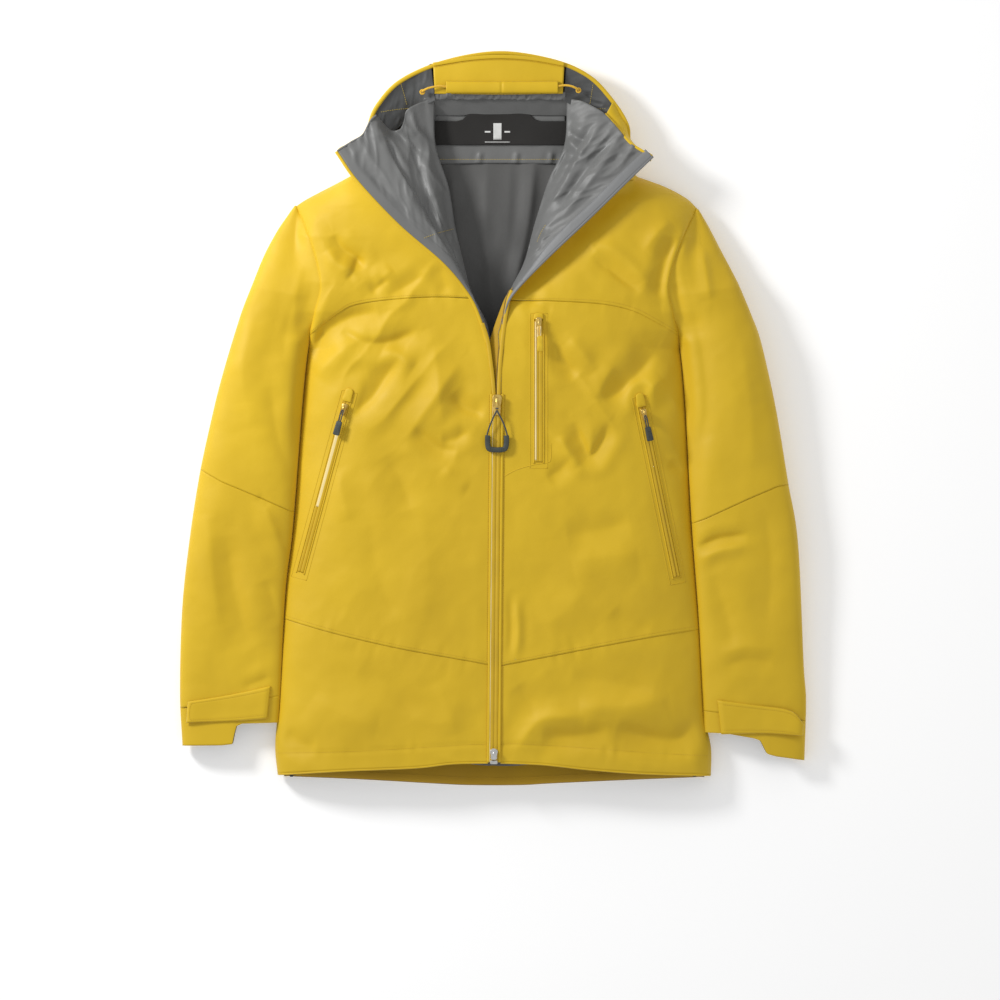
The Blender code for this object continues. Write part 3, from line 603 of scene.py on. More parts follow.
def add_bump(nodes, links, shader, height, strength, distance):
    made = nodes.new("ShaderNodeBump")
    made.inputs["Strength"].default_value = strength
    made.inputs["Distance"].default_value = distance
    links.new(height, made.inputs["Height"])
    links.new(made.outputs["Normal"], shader.inputs["Normal"])


def ripstop_lines(nodes, links, uv, pitch):
    """Fine raised lines both ways, a pitch apart, as ripstop cloth has."""
    separate = nodes.new("ShaderNodeSeparateXYZ")
    links.new(uv, separate.inputs["Vector"])
    lines = []
    for axis in ("X", "Y"):
        wave = maths(nodes, links, "SINE", maths(nodes, links, "MULTIPLY", separate.outputs[axis],
                                                 2 * math.pi / (pitch * MM)))
        lines.append(maths(nodes, links, "POWER", maths(nodes, links, "ABSOLUTE", wave), 10.0))
    return maths(nodes, links, "MAXIMUM", *lines)


def fabric(name, dark, light, roughness, pitch=2.6, weave=0.25, crinkle=0.35, sheen=0.15, tint=(1, 1, 1),
           gloss=0.35):
    """Coated cloth: slow colour variation, a ripstop grid, a fine weave and faint crinkles."""
    made, nodes, links, shader = new_material(name, light, roughness)
    coords = nodes.new("ShaderNodeTexCoord")
    uv, body = coords.outputs["UV"], coords.outputs["Object"]
    slow = noise_node(nodes, links, body, 9.0, 3.0)
    grain = noise_node(nodes, links, uv, 900.0, 1.0)
    lines = ripstop_lines(nodes, links, uv, pitch)
    share = maths(nodes, links, "MULTIPLY_ADD", lines, 0.22, spread(nodes, links, slow, 0.1, 0.9))
    links.new(colour_between(nodes, links, share, dark, light), shader.inputs["Base Color"])
    rough = spread(nodes, links, noise_node(nodes, links, body, 26.0, 2.0), roughness - 0.06,
                   roughness + 0.06)
    links.new(rough, shader.inputs["Roughness"])
    shader.inputs["Sheen Weight"].default_value = sheen
    shader.inputs["Sheen Roughness"].default_value = 0.45
    shader.inputs["Sheen Tint"].default_value = (*tint, 1)
    shader.inputs["Specular IOR Level"].default_value = gloss
    soft = maths(nodes, links, "MULTIPLY", noise_node(nodes, links, body, 60.0, 4.0, 0.6), crinkle * 4)
    height = maths(nodes, links, "ADD", soft, maths(nodes, links, "MULTIPLY", lines, weave * 0.5))
    height = maths(nodes, links, "ADD", height, maths(nodes, links, "MULTIPLY", grain, weave * 0.5))
    add_bump(nodes, links, shader, height, 0.35, 0.0006)
    return made


def film(name, colour, light, roughness, rib_pitch):
    """Smooth welded zip film with the ribs of the coil showing through."""
    made, nodes, links, shader = new_material(name, colour, roughness)
    coords = nodes.new("ShaderNodeTexCoord")
    separate = nodes.new("ShaderNodeSeparateXYZ")
    links.new(coords.outputs["UV"], separate.inputs["Vector"])
    wave = maths(nodes, links, "SINE", maths(nodes, links, "MULTIPLY", separate.outputs["Y"],
                                             2 * math.pi / (rib_pitch * MM)))
    slow = noise_node(nodes, links, coords.outputs["Object"], 30.0)
    links.new(colour_between(nodes, links, spread(nodes, links, slow, 0, 1), colour, light),
              shader.inputs["Base Color"])
    links.new(spread(nodes, links, slow, roughness - 0.05, roughness + 0.08), shader.inputs["Roughness"])
    shader.inputs["Coat Weight"].default_value = 0.08
    shader.inputs["Coat Roughness"].default_value = 0.2
    add_bump(nodes, links, shader, wave, 0.25, 0.0002)
    return made


def worn(name, colour, light, roughness, metallic=0.0, scale=140.0, bump=0.0001, coat=0.0):
    """Moulded plastic, rubber or metal with slight mottling and a fine grain."""
    made, nodes, links, shader = new_material(name, colour, roughness, metallic)
    coords = nodes.new("ShaderNodeTexCoord")
    fine = noise_node(nodes, links, coords.outputs["Object"], scale, 3.0)
    links.new(colour_between(nodes, links, spread(nodes, links, fine, 0, 1), colour, light),
              shader.inputs["Base Color"])
    links.new(spread(nodes, links, fine, roughness - 0.07, roughness + 0.1), shader.inputs["Roughness"])
    shader.inputs["Coat Weight"].default_value = coat
    grain = noise_node(nodes, links, coords.outputs["Object"], 2600.0, 2.0)
    add_bump(nodes, links, shader, grain, 0.5, bump)
    return made


def braid(name, dark, light):
    """Braided cord: two sets of crossing strands."""
    made, nodes, links, shader = new_material(name, light, 0.75)
    coords = nodes.new("ShaderNodeTexCoord")
    separate = nodes.new("ShaderNodeSeparateXYZ")
    links.new(coords.outputs["UV"], separate.inputs["Vector"])
    waves = []
    for sign in (1, -1):
        rise = maths(nodes, links, "MULTIPLY", separate.outputs["Y"], 2 * math.pi / 0.0016)
        lean = maths(nodes, links, "MULTIPLY_ADD", separate.outputs["X"], sign * 2 * math.pi * 1000 / 5, rise)
        waves.append(maths(nodes, links, "SINE", lean))
    height = maths(nodes, links, "MAXIMUM", *waves)
    share = spread(nodes, links, height, 0, 1, (-0.3, 1))
    links.new(colour_between(nodes, links, share, dark, light), shader.inputs["Base Color"])
    shader.inputs["Sheen Weight"].default_value = 0.2
    add_bump(nodes, links, shader, height, 0.6, 0.0002)
    return made


def lit_floor():
    """A pale studio floor that glows a little, so that it stays white."""
    made, _, _, shader = new_material("studio_floor", (0.93, 0.93, 0.93), 0.8)
    shader.inputs["Emission Color"].default_value = (1, 1, 1, 1)
    shader.inputs["Emission Strength"].default_value = 0.2
    shader.inputs["Specular IOR Level"].default_value = 0.1
    return made


FINISH = {
    "shell": fabric("shell_yellow", (0.59, 0.378, 0.005), (0.675, 0.443, 0.008), 0.6, sheen=0.08,
                    tint=(1.0, 0.97, 0.88), gloss=0.42),
    # facing: the shell's own yellow darkened as painted shade, for cloth that lies in shadow under other
    # cloth
    "facing": fabric("facing_yellow_painted_shade", (0.40, 0.225, 0.002), (0.48, 0.28, 0.003), 0.6),
    "backer": fabric("backer_grey", (0.130, 0.131, 0.128), (0.175, 0.176, 0.172), 0.40, pitch=2.0, weave=0.4,
                     crinkle=0.5, sheen=0.1),
    # lining: the back's grey inside seen down the V, set darker than the backer's grey as painted shade
    "lining": fabric("lining_grey_painted_shade", (0.080, 0.079, 0.076), (0.112, 0.111, 0.107), 0.5, pitch=2.0, weave=0.4,
                     crinkle=0.4, sheen=0.1),
    "hood_dark": fabric("hood_grey", (0.060, 0.062, 0.062), (0.092, 0.094, 0.094), 0.5, pitch=2.0, weave=0.4,
                        crinkle=0.6, sheen=0.08),
    "zip_film": film("zip_film", (0.55, 0.345, 0.001), (0.62, 0.39, 0.001), 0.5, 1.3),
    "coil": film("zip_coil", (0.46, 0.28, 0.001), (0.53, 0.325, 0.001), 0.5, 1.3),
    "facing_light": fabric("facing_grey", (0.165, 0.168, 0.169), (0.20, 0.203, 0.204), 0.42, pitch=2.0,
                           weave=0.3, crinkle=0.3, sheen=0.1),
    # cream film: painted highlights on the glossy zip film; the chest pull's ribbon uses the same pale colour
    "cream_and_painted_highlight": film("zip_film_pale_and_painted_highlight", (0.80, 0.62, 0.24), (0.88, 0.72, 0.36), 0.3, 1.3),
    "teeth": worn("zip_teeth", (0.16, 0.09, 0.008), (0.26, 0.15, 0.012), 0.45),
    "bronze": worn("slider_bronze", (0.56, 0.36, 0.07), (0.80, 0.58, 0.18), 0.3, 0.9, 220.0),
    "silver": worn("slider_silver", (0.55, 0.55, 0.54), (0.72, 0.72, 0.70), 0.25, 1.0, 220.0),
    "rubber": worn("grip_rubber", (0.036, 0.043, 0.037), (0.055, 0.064, 0.056), 0.5, bump=0.0003),
    "cord_yellow": braid("cord_yellow", (0.62, 0.32, 0.008), (0.84, 0.52, 0.03)),
    "pull_yellow": worn("pull_yellow", (0.58, 0.37, 0.006), (0.70, 0.47, 0.012), 0.45, bump=0.0002),
    "cord_dark": braid("cord_dark", (0.022, 0.026, 0.025), (0.075, 0.085, 0.08)),
    "label": fabric("label_black", (0.016, 0.015, 0.014), (0.026, 0.024, 0.022), 0.8, pitch=0.9, sheen=0.05),
    "label_print": worn("label_print", (0.62, 0.62, 0.60), (0.72, 0.72, 0.70), 0.7),
    "hook": worn("hook_orange", (0.50, 0.25, 0.012), (0.66, 0.36, 0.03), 0.9, 0.0, 1500.0, 0.0008),
    "black": worn("moulded_black", (0.02, 0.02, 0.02), (0.04, 0.04, 0.04), 0.5),
    "thread": fabric("thread_yellow", (0.48, 0.30, 0.012), (0.62, 0.40, 0.02), 0.7, pitch=0.6),
    "floor": lit_floor(),
    "thread_gold": fabric("thread_gold", (0.60, 0.42, 0.04), (0.78, 0.58, 0.10), 0.6, pitch=0.6),
}

# ---------------------------------------------------------------- front panels


def main_zip_x(y, away=0.0):
    return np.interp(y, [ZIP_FOOT[1], ZIP_TOP[1]], [ZIP_FOOT[0], ZIP_TOP[0]]) + away


def rim_part(side, low, high):
    """The front edge of a panel: along the zip, then up the open rim."""
    sign = SIGN[side]
    rim = smooth([(x, y) for x, y, z in LAPEL_RIM[side]][:6], 300)
    points = [(float(main_zip_x(y, sign * 5.4)), y) for y in np.arange(-420, 62, 20.0)]
    points += [tuple(p) for p in rim[::12]]
    return [p for p in smooth(points, 900) if low <= p[1] <= high]


def curled(grid, top=False):
    """Adds points that turn a panel's outer side, or its top too, down over the back panel's edge."""
    for at_top in (False, True) if top else (False,):
        rim, near = (grid[-1], grid[-3]) if at_top else (grid[:, 0], grid[:, 2])
        way = rim - near
        way[:, 2] = 0
        way /= np.maximum(np.linalg.norm(way, axis=1), 1e-6)[:, None]
        extra = []
        for out, drop in ((0.7, 1.6), (1.0, 4.2), (0.9, 8.5)) + (((0.8, 0.5), (0.6, 1.0)) if at_top else ()):
            row = rim + way * out
            row[:, 2] = row[:, 2] - drop if drop > 1 else row[:, 2] + (2.0 - row[:, 2]) * drop
            row[:, 2] = np.maximum(row[:, 2], 2.0)
            extra.append(row)
        if at_top:
            grid = np.concatenate([grid] + [row[None] for row in extra], axis=0)
        else:
            grid = np.concatenate([row[:, None] for row in extra[::-1]] + [grid], axis=1)
    return grid


def raised_to_rim(grid):
    """Adds points that take the left front's edge up, under the lapel, to the lapel's rim."""
    edge = grid[:, -1]
    _, place = along(edge[:, 0], edge[:, 1], RIM_LINES["left"])
    rim = np.interp(place, np.linspace(0, 1, 80), RIM_LINES["left"][:, 2]) - 1.0
    up = np.maximum(rim - edge[:, 2], 0) * ease(edge[:, 1], 108, 150)
    extra = []
    for share, inward in ((0.3, 0.6), (0.7, 0.8), (1.0, 0.4)):
        row = edge.copy()
        row[:, 2] += up * share
        row[:, 0] -= inward
        extra.append(row)
    return np.concatenate([grid] + [row[:, None] for row in extra], axis=1)


def panel(name, bottom, top, start, end, raised, nodes):
    """A panel of the front between four edges, with its outer side turned down."""
    width = np.linalg.norm(np.diff(smooth(bottom, 50), axis=0), axis=1).sum()
    tall = np.linalg.norm(np.diff(smooth(end, 50), axis=0), axis=1).sum()
    plan = blended_patch(bottom, top, start, end, int(width / STEP) + 2, int(tall / STEP) + 2)
    x, y = plan[..., 0], plan[..., 1]
    z = front_z(x, y) + raised
    grid = curled(np.stack([x, y, z], axis=-1), "yoke" in name)
    if "left" in name and "hem" not in name:
        grid = raised_to_rim(grid)
    flip = bottom[0][0] > bottom[-1][0]
    return place(cloth(name, grid, flip=flip), slot="shell_yellow", nodes=nodes)


def side_edge(side, low, high):
    curve = EDGES[side]
    kept = curve[(curve[:, 1] > low + 1) & (curve[:, 1] < high - 1)]
    ends = [(float(np.interp(v, curve[:, 1], curve[:, 0])), v) for v in (low, high)]
    return [ends[0]] + [tuple(p) for p in kept[::8]] + [ends[1]]


for side in SIGN:
    hem, lower, yoke = HEM[side], LOWER_SEAM[side], YOKE_SEAM[side]
    shoulder = SHOULDER[side] + ([(-166, 297)] if side == "right" else [(168, 298)])
    rim_end = rim_part(side, yoke[-1][1], 286) + [shoulder[-1]]
    panel(side + "_hem_panel_cloth", hem, lower, side_edge(side, hem[0][1], lower[0][1]),
          rim_part(side, hem[-1][1], lower[-1][1]), 0.0, [side + "_hem_panel"])
    over = [(x, y - 2.0) for x, y in lower]
    panel(side + "_front_panel_cloth", over, yoke, side_edge(side, over[0][1], yoke[0][1]),
          rim_part(side, over[-1][1], yoke[-1][1]), 0.55, [side + "_front_panel"])
    under = [(x, y - 2.0) for x, y in yoke]
    panel(side + "_yoke_cloth", under, shoulder, side_edge(side, under[0][1], shoulder[0][1]), rim_end,
          1.1, [side + "_front_yoke"])

# ---------------------------------------------------------------- back panel


def back_fold(x, y):
    """Height of the lining above the floor: soft folds that run down from the neck."""
    folds = [
        (4.0, 11, 0.3, [(-52, 320), (-46, 240), (-34, 150), (-20, 60)]),
        (3.4, 12, -0.2, [(-6, 318), (-8, 240), (-2, 160), (2, 90)]),
        (5.0, 9, 0.35, [(50, 318), (44, 250), (30, 180), (12, 110)]),
        (3.0, 8, 0.2, [(76, 310), (66, 250), (50, 190)]),
        (2.4, 10, 0.2, [(22, 316), (20, 270), (16, 200)]),
    ]
    return np.clip(1.8 + 0.9 * noise(x, y * 0.4, 26, 31) + 0.75 * fold_height(x, y, folds), 0.8, 7)


def back_sheet():
    paths = {}
    for side in SIGN:
        upper = [(x - SIGN[side] * 2.5, y - 2.0) for x, y in ARMHOLE[side][1:] + SHOULDER[side][1:]]
        points = SIDE[side] + upper + [(SIGN[side] * 160, 330)]
        points[0] = BACK_HEM[0] if side == "right" else BACK_HEM[-1]
        paths[side] = points
    top = [(-158, 330), (-92, 327), (8, 327), (108, 327), (162, 330)]
    plan = blended_patch(BACK_HEM, top, paths["right"], paths["left"], 170, 260)
    turn = np.linspace(0, 1, 7)[:-1] * math.pi / 2
    inward, height = 9 * (1 - np.cos(turn)), 15.6 * (1 - np.sin(turn))
    wall_height = np.where(plan[:, :1, 1] < -405, 9, 16) / 16
    blocks = []
    for edge, other, order in ((plan[:, 0], plan[:, -1], 1), (plan[:, -1], plan[:, 0], -1)):
        way = (other - edge) / np.linalg.norm(other - edge, axis=1)[:, None]
        wall = edge[:, None] + way[:, None] * inward[None, :, None]
        wall = np.concatenate([wall, FLOOR_GAP + (height * wall_height)[..., None]], axis=-1)
        blocks.append(wall[:, ::order])
    middle = plan[:, 4:-4]
    middle = np.concatenate([middle, np.full_like(middle[..., :1], FLOOR_GAP)], axis=-1)
    return np.concatenate([blocks[0], middle, blocks[1]], axis=1)


outside = back_sheet()
place(cloth("back_panel_cloth", outside, flip=True), slot="shell_yellow", nodes=["back_panel"])
# the back's grey inside, seen down the V, in a darker grey than the backer: painted shade
x, y = np.meshgrid(np.linspace(-150, 160, 150), np.linspace(20, 320, 140))
lining = np.stack([x, y, 0.8 + back_fold(x, y)], axis=-1)
place(cloth("back_lining", lining, outer="lining"), slot="backer_grey")

# ---------------------------------------------------------------- sleeves

SLEEVE_FOLDS = {
    "right": [
        (2.6, 9, 0.3, [(-281, -97), (-259, -156), (-245, -183)]),
        (-4.0, 17, 0.2, [(-326, -142), (-308, -241), (-290, -277)]),
        (2.8, 13, 0.2, [(-349, -115), (-340, -205), (-334, -250)]),
        (-3.0, 11, 0.3, [(-277, -196), (-259, -250)]),
        (-1.6, 5, 0.2, [(-286, -93), (-272, -106)]),
        (-1.6, 6, 0.2, [(-304, -327), (-272, -314)]),
        (-2.6, 12, 0.2, [(-248, -60), (-262, -20), (-270, 40)]),
        (2.2, 14, 0.2, [(-300, 20), (-304, 70), (-290, 120)]),
        (-2.2, 12, 0.2, [(-240, 150), (-252, 110), (-256, 70)]),
        (2.0, 10, 0.2, [(-232, 190), (-240, 150), (-243, 110)]),
    ],
    "left": [
        (-5.0, 9, 0.3, [(213, 208), (222, 160), (231, 116)]),
        (3.6, 10, 0.35, [(254, 208), (259, 176), (263, 144)]),
        (-4.4, 15, 0.2, [(240, 153), (254, 80), (259, 15), (252, -30), (245, -77)]),
        (-3.8, 7, 0.4, [(245, -159), (273, -146), (309, -141)]),
        (2.4, 7, 0.2, [(250, -172), (276, -160), (306, -156)]),
        (-1.8, 9, 0.2, [(282, -302), (309, -293), (341, -297)]),
        (1.8, 9, 0.2, [(280, -286), (310, -278), (342, -282)]),
        (2.6, 17, 0.2, [(300, 100), (312, 20), (316, -60)]),
        (-2.6, 14, 0.2, [(330, -110), (338, -180), (334, -250)]),
        (-2.4, 12, 0.2, [(268, -190), (284, -240), (292, -280)]),
    ],
}
ELBOW = {
    "right": [(-247, -112), (-283, -96), (-331, -76), (-357, -61)],
    "left": [(243, -127), (257, -122), (309, -98), (346, -82), (360, -79)],
}
CUFF_TOP = {"right": [(-262, -338), (-380, -352)], "left": [(259, -356), (382, -368)]}
CUFF_EDGE = {
    "right": [(-264, -370), (-306, -371), (-314, -375), (-317, -396), (-330, -397.5), (-377, -398)],
    "left": [(259, -382), (284, -383), (318, -389), (326, -392), (334, -408), (345, -411), (380, -416)],
}
GROOVE = {"right": 0.55, "left": 1.0}


def sleeve_lines(side):
    """The inner and outer edges of a sleeve in plan, from the shoulder down."""
    body = [(x - 1.2 * SIGN[side], y) for x, y in SIDE[side] if y > -400][::-1]
    top = ARMHOLE[side][-1]
    inner = [(top[0] - 2.5 * SIGN[side], top[1])] + ARMHOLE[side][::-1][1:-1] + body
    outer = [(x, y) for x, y, *_ in SLEEVE_OUTER[side]]
    return smooth(inner, 700), smooth(outer, 700)


def at_height(line, y):
    """Share along a line that runs downwards where it passes y."""
    return float(np.interp(-y, -line[:, 1], np.linspace(0, 1, len(line))))


def section(width, thick, samples, count, slack=0.0):
    """A soft flattened ring as shares across and up. Slack eases the top's inner shoulder for a groove."""
    turn = np.linspace(0, 2 * math.pi, samples, endpoint=False)
    c, s = np.cos(turn), np.sin(turn)
    across = 0.5 - 0.5 * np.sign(c) * np.abs(c) ** 0.75
    height = 0.5 + 0.5 * np.sign(s) * np.abs(s) ** 0.6
    height -= slack * (s > 0) * np.abs(s) ** 0.6 * np.exp(-((across / 0.11) ** 2))
    closed = np.stack([np.append(across, across[0]), np.append(height, height[0])], axis=1)
    length = np.hypot(*(np.diff(closed, axis=0) * (width, thick)).T)
    run = np.concatenate([[0], np.cumsum(length)])
    wanted = np.linspace(0, run[-1], count, endpoint=False)
    return np.stack([np.interp(wanted, run, closed[:, k]) for k in (0, 1)], axis=1)


def sleeve_top(x, y, side):
    """How much the folds raise the top of a sleeve."""
    soft = 1.6 * noise(x + 11 * noise(x, y, 70, 51), y, 62, 52)
    soft = soft + 0.6 * noise(x, y + 7 * noise(x, y, 44, 53), 27, 54)
    return fold_height(x, y, SLEEVE_FOLDS[side]) + soft + 0.2 * noise(x, y, 12, 57)


def sleeve_grid(side, starts, ends, rows, cols, top_edge=None, low_edge=None, swell=0.0, fold=1.0):
    """Rings between two pairs of (inner, outer) shares. An edge bends a row to a drawn line."""
    inner, outer = sleeve_lines(side)
    places = np.linspace(0, 1, len(inner))
    grid = np.empty((rows, cols, 3))
    for r, v in enumerate(np.linspace(0, 1, rows)):
        a, b = (starts[k] + (ends[k] - starts[k]) * v for k in (0, 1))
        p = np.array([np.interp(a, places, inner[:, k]) for k in (0, 1)])
        q = np.array([np.interp(b, places, outer[:, k]) for k in (0, 1)])
        middle = (p[1] + q[1]) / 2
        thick = np.interp(middle, *zip(*SLEEVE_THICK)) + swell
        groove = 0.34 * GROOVE[side] * ease(p[1], -160, 40) * (1 - ease(p[1], 84, 120))
        ring = section(np.linalg.norm(q - p), thick, 400, cols, groove)
        plan = p + (q - p) * ring[:, :1]
        for line, share in ((top_edge, 1 - v), (low_edge, v)):
            if line is not None:
                order = np.argsort([point[0] for point in line])
                line_x, line_y = (np.array(line, float)[order, k] for k in (0, 1))
                straight = starts if line is top_edge else ends
                p0, q0 = (np.interp(straight[k], places, edge[:, 1]) for k, edge in enumerate((inner, outer)))
                chord = p0 + (q0 - p0) * ring[:, 0]
                plan[:, 1] += (np.interp(plan[:, 0], line_x, line_y) - chord) * share
        z = FLOOR_GAP + thick * ring[:, 1]
        sewn = np.interp(p[1], *ARMHOLE_HEIGHTS) + 0.6
        level = 2 * ring[:, 1] - 1
        joined_in = ease(p[1], 92, 122) * ease(level, -0.25, 0.0) * (level > -0.25)
        reach = 0.45
        crest = FLOOR_GAP + thick * (0.5 + 0.5 * (1 - abs(1 - 2 * reach) ** 2.67) ** 0.3)
        flat = sewn + (crest - sewn) * ease(ring[:, 0], 0, reach)
        z = np.where(ring[:, 0] < reach, z + (flat - z) * joined_in, z)
        raised = sleeve_top(plan[:, 0], plan[:, 1], side) * ease(level, 0.0, 0.75) * fold
        raised *= 0.3 + 0.7 * ease(ring[:, 0], 0.0, 0.16)
        grid[r, :, :2] = plan
        grid[r, :, 2] = np.maximum(z + raised, FLOOR_GAP)
    return grid


def ring_cloth(name, grid, side):
    """Cloth on rings, with its outer face out whichever way round the sleeve is."""
    rows, cols = grid.shape[:2]
    uvs = np.empty((rows, cols, 2))
    uvs[..., 0] = np.arange(cols) * 2.4
    uvs[..., 1] = grid[..., 1]
    return cloth(name, grid, ring=True, flip=side == "left", uvs=uvs)


def seam_share(side, line):
    inner, outer = sleeve_lines(side)
    return at_height(inner, line[0][1]), at_height(outer, line[-1][1])


LOWER_GRID, CUFF_GRID = {}, {}
for side in SIGN:
    elbow, cuff, foot = (seam_share(side, line) for line in (ELBOW[side], CUFF_TOP[side], CUFF_EDGE[side]))
    upper = sleeve_grid(side, (0.0, 0.0), elbow, 170, 112, low_edge=ELBOW[side], swell=0.5)
    obj = ring_cloth(side + "_upper_sleeve_cloth", upper, side)
    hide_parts(side + "_sleeve_head", side + "_upper_sleeve")
    if side == "right":
        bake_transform(obj)
    else:
        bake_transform(obj)
    lower = sleeve_grid(side, elbow, cuff, 108, 104, top_edge=ELBOW[side], low_edge=CUFF_TOP[side])
    place(ring_cloth(side + "_lower_sleeve_cloth", lower, side), side + "_sleeve", "shell_yellow",
          [side + "_lower_sleeve"])
    band = sleeve_grid(side, cuff, foot, 24, 104, top_edge=CUFF_TOP[side], low_edge=CUFF_EDGE[side],
                       fold=0.35)
    LOWER_GRID[side], CUFF_GRID[side] = lower, band
    place(ring_cloth(side + "_cuff_cloth", band, side), side + "_sleeve", "shell_yellow", [side + "_cuff"])

# ---------------------------------------------------------------- lapels


LAPEL_FOLDS = {
    "right": [
        (5.5, 8, 0.3, [(-84, 318), (-76, 282), (-62, 246), (-52, 222)]),
        (-5.0, 7, 0.3, [(-97, 334), (-88, 296), (-78, 262), (-68, 240)]),
        (3.6, 9, 0.2, [(-129, 341), (-114, 318), (-102, 294), (-96, 270)]),
        (-3.2, 9, 0.2, [(-153, 300), (-128, 276), (-102, 251)]),
        (-4.6, 5, 0.3, [(-143, 368), (-128, 356), (-112, 346), (-82, 320)]),
        (3.6, 6, 0.2, [(-124, 366), (-106, 356), (-92, 346)]),
        (-3.0, 5, 0.2, [(-60, 268), (-56, 246), (-50, 224)]),
        (2.8, 6, 0.2, [(-44, 208), (-36, 190), (-26, 172)]),
        (-2.4, 5, 0.2, [(-54, 206), (-42, 186), (-30, 168)]),
    ],
    "left": [
        (4.4, 6, 0.3, [(134, 362), (112, 332), (92, 300), (70, 262)]),
        (-4.6, 5, 0.3, [(124, 362), (102, 328), (84, 294), (62, 258)]),
        (-3.8, 5, 0.3, [(146, 344), (126, 318), (104, 290), (82, 258)]),
        (3.4, 6, 0.2, [(152, 330), (130, 304), (108, 276), (84, 246)]),
        (-3.4, 4, 0.2, [(92, 352), (104, 342), (118, 338)]),
        (3.6, 5, 0.2, [(88, 342), (100, 330), (112, 322)]),
        (-2.8, 4, 0.2, [(90, 326), (82, 310), (72, 292)]),
        (-2.6, 4, 0.2, [(60, 236), (50, 216), (40, 200)]),
        (2.6, 5, 0.2, [(68, 232), (56, 212), (44, 196)]),
    ],
}
RIM_TILT = {"right": 124, "left": 50}


LAPEL_CREST = {
    "right": [(-189, 325, 63), (-172, 336, 60), (-158, 345, 56), (-149, 362, 52), (-142, 369, 48),
              (-134, 361, 42), (-124, 352, 40), (-113, 353, 40), (-108, 364, 40), (-105, 376, 38),
              (-90, 385, 34), (-71, 391, 26)],
    "left": [(193, 319, 63), (180, 326, 60), (166, 336, 56), (151, 354, 50), (136, 371, 45), (124, 379, 42),
             (108, 387, 38), (90, 391, 26)],
}
LAPEL_LINE = {
    "right": LAPEL_INSIDE["right"][:-1] + [(-71, 391, 26)],
    "left": LAPEL_INSIDE["left"][:-1] + [(90, 391, 26)],
}


def lapel_grid(side):
    rim, inside = LAPEL_RIM[side], LAPEL_LINE[side]
    start = [rim[0], tuple((np.array(rim[0]) + inside[0]) / 2), inside[0]]
    return blended_patch(start, LAPEL_CREST[side], rim, inside, 70, 150)


def lapel_z(grid, side, bulge=7.0):
    """Heights of the open lapel: it stands at the rim, bellies out, and crumples further in."""
    x, y = grid[..., 0], grid[..., 1]
    share = np.linspace(0, 1, grid.shape[1])[None]
    up = np.linspace(0, 1, grid.shape[0])[:, None]
    away = np.abs(along(x, y, LAPEL_RIM[side])[0])
    z = grid[..., 2] + bulge * np.sin(math.pi * share) * np.sqrt(np.sin(math.pi * np.clip(up, 0.02, 0.98)))
    loose = ease(away, 7, 17) * ease(1 - share, 0.0, 0.08)
    tilt, seed = RIM_TILT[side], 61 if side == "right" else 71
    crumples = 1.7 * crinkle(x, y, tilt, 60, 17, seed) + 0.8 * crinkle(x, y, tilt - 24, 34, 8, seed + 5)
    crumples = crumples * (1.5 if side == "right" else 1.8)
    groove = 0.5 * np.exp(-(((away - 12.5) / 1.1) ** 2))
    return z + (fold_height(x, y, LAPEL_FOLDS[side]) + crumples) * loose - groove


LAPEL_HEIGHT = {}


def nearest_height(grid, reach=3.5):
    """A function that gives the height of a surface from its points near a place in plan."""
    flat = grid.reshape(-1, 3)
    tree = KDTree(len(flat))
    for index, point in enumerate(flat):
        tree.insert((point[0], point[1], 0), index)
    tree.balance()

    def height(x, y):
        found = []
        for px, py in zip(np.ravel(x), np.ravel(y)):
            near = tree.find_n((px, py, 0), 5)
            weights = np.array([math.exp(-((d / reach) ** 2)) + 1e-9 for _, _, d in near])
            found.append(float((weights * flat[[i for _, i, _ in near], 2]).sum() / weights.sum()))
        return np.reshape(found, np.shape(x))

    return height


def lapel(side):
    grid = lapel_grid(side)
    grid[..., 2] = lapel_z(grid, side)
    LAPEL_HEIGHT[side] = nearest_height(grid)
    inner = grid[:, -1]
    tuck = []
    sign = SIGN[side]
    for step, drop in ((3.0, 3.5), (6.5, 9.0), (11.0, 15.0)):
        row = inner.copy()
        row[:, 0] += sign * step
        row[:, 2] = np.maximum(row[:, 2] - drop, 4)
        tuck.append(row)
    full = np.concatenate([grid] + [row[:, None] for row in tuck], axis=1)
    obj = cloth(side + "_lapel_cloth", full, "backer", "shell", flip=side == "left")
    place(obj, slot="backer_grey", nodes=[side + "_collar"])


for side in SIGN:
    lapel(side)


def edge_roll(name, path, width, height, finish, lift=0.0, slot="shell_yellow"):
    """A turned edge: a flat tube of folded cloth along a line."""
    path = smooth(path, step=2.0)
    path[:, 2] += lift
    return place(strip(name, path, round_profile(width, height, 12, 0.8), finish), slot=slot)


right_rim = smooth(LAPEL_RIM["right"], 200)
edge_roll("right_rim_roll", right_rim - (1.3, 0.9, 0), 3.8, 3.0, "shell", -0.5)
left_rim = smooth(LAPEL_RIM["left"], 200)
left_rim = smooth(left_rim + (1.0, -0.6, 0.1), step=2.0)
sizes = 0.35 + 0.65 * ease(left_rim[:, 1], 100, 170)
place(strip("left_rim_roll", left_rim, round_profile(3.0, 2.4, 12, 0.8), "facing_light", sizes=sizes),
      slot="backer_grey")
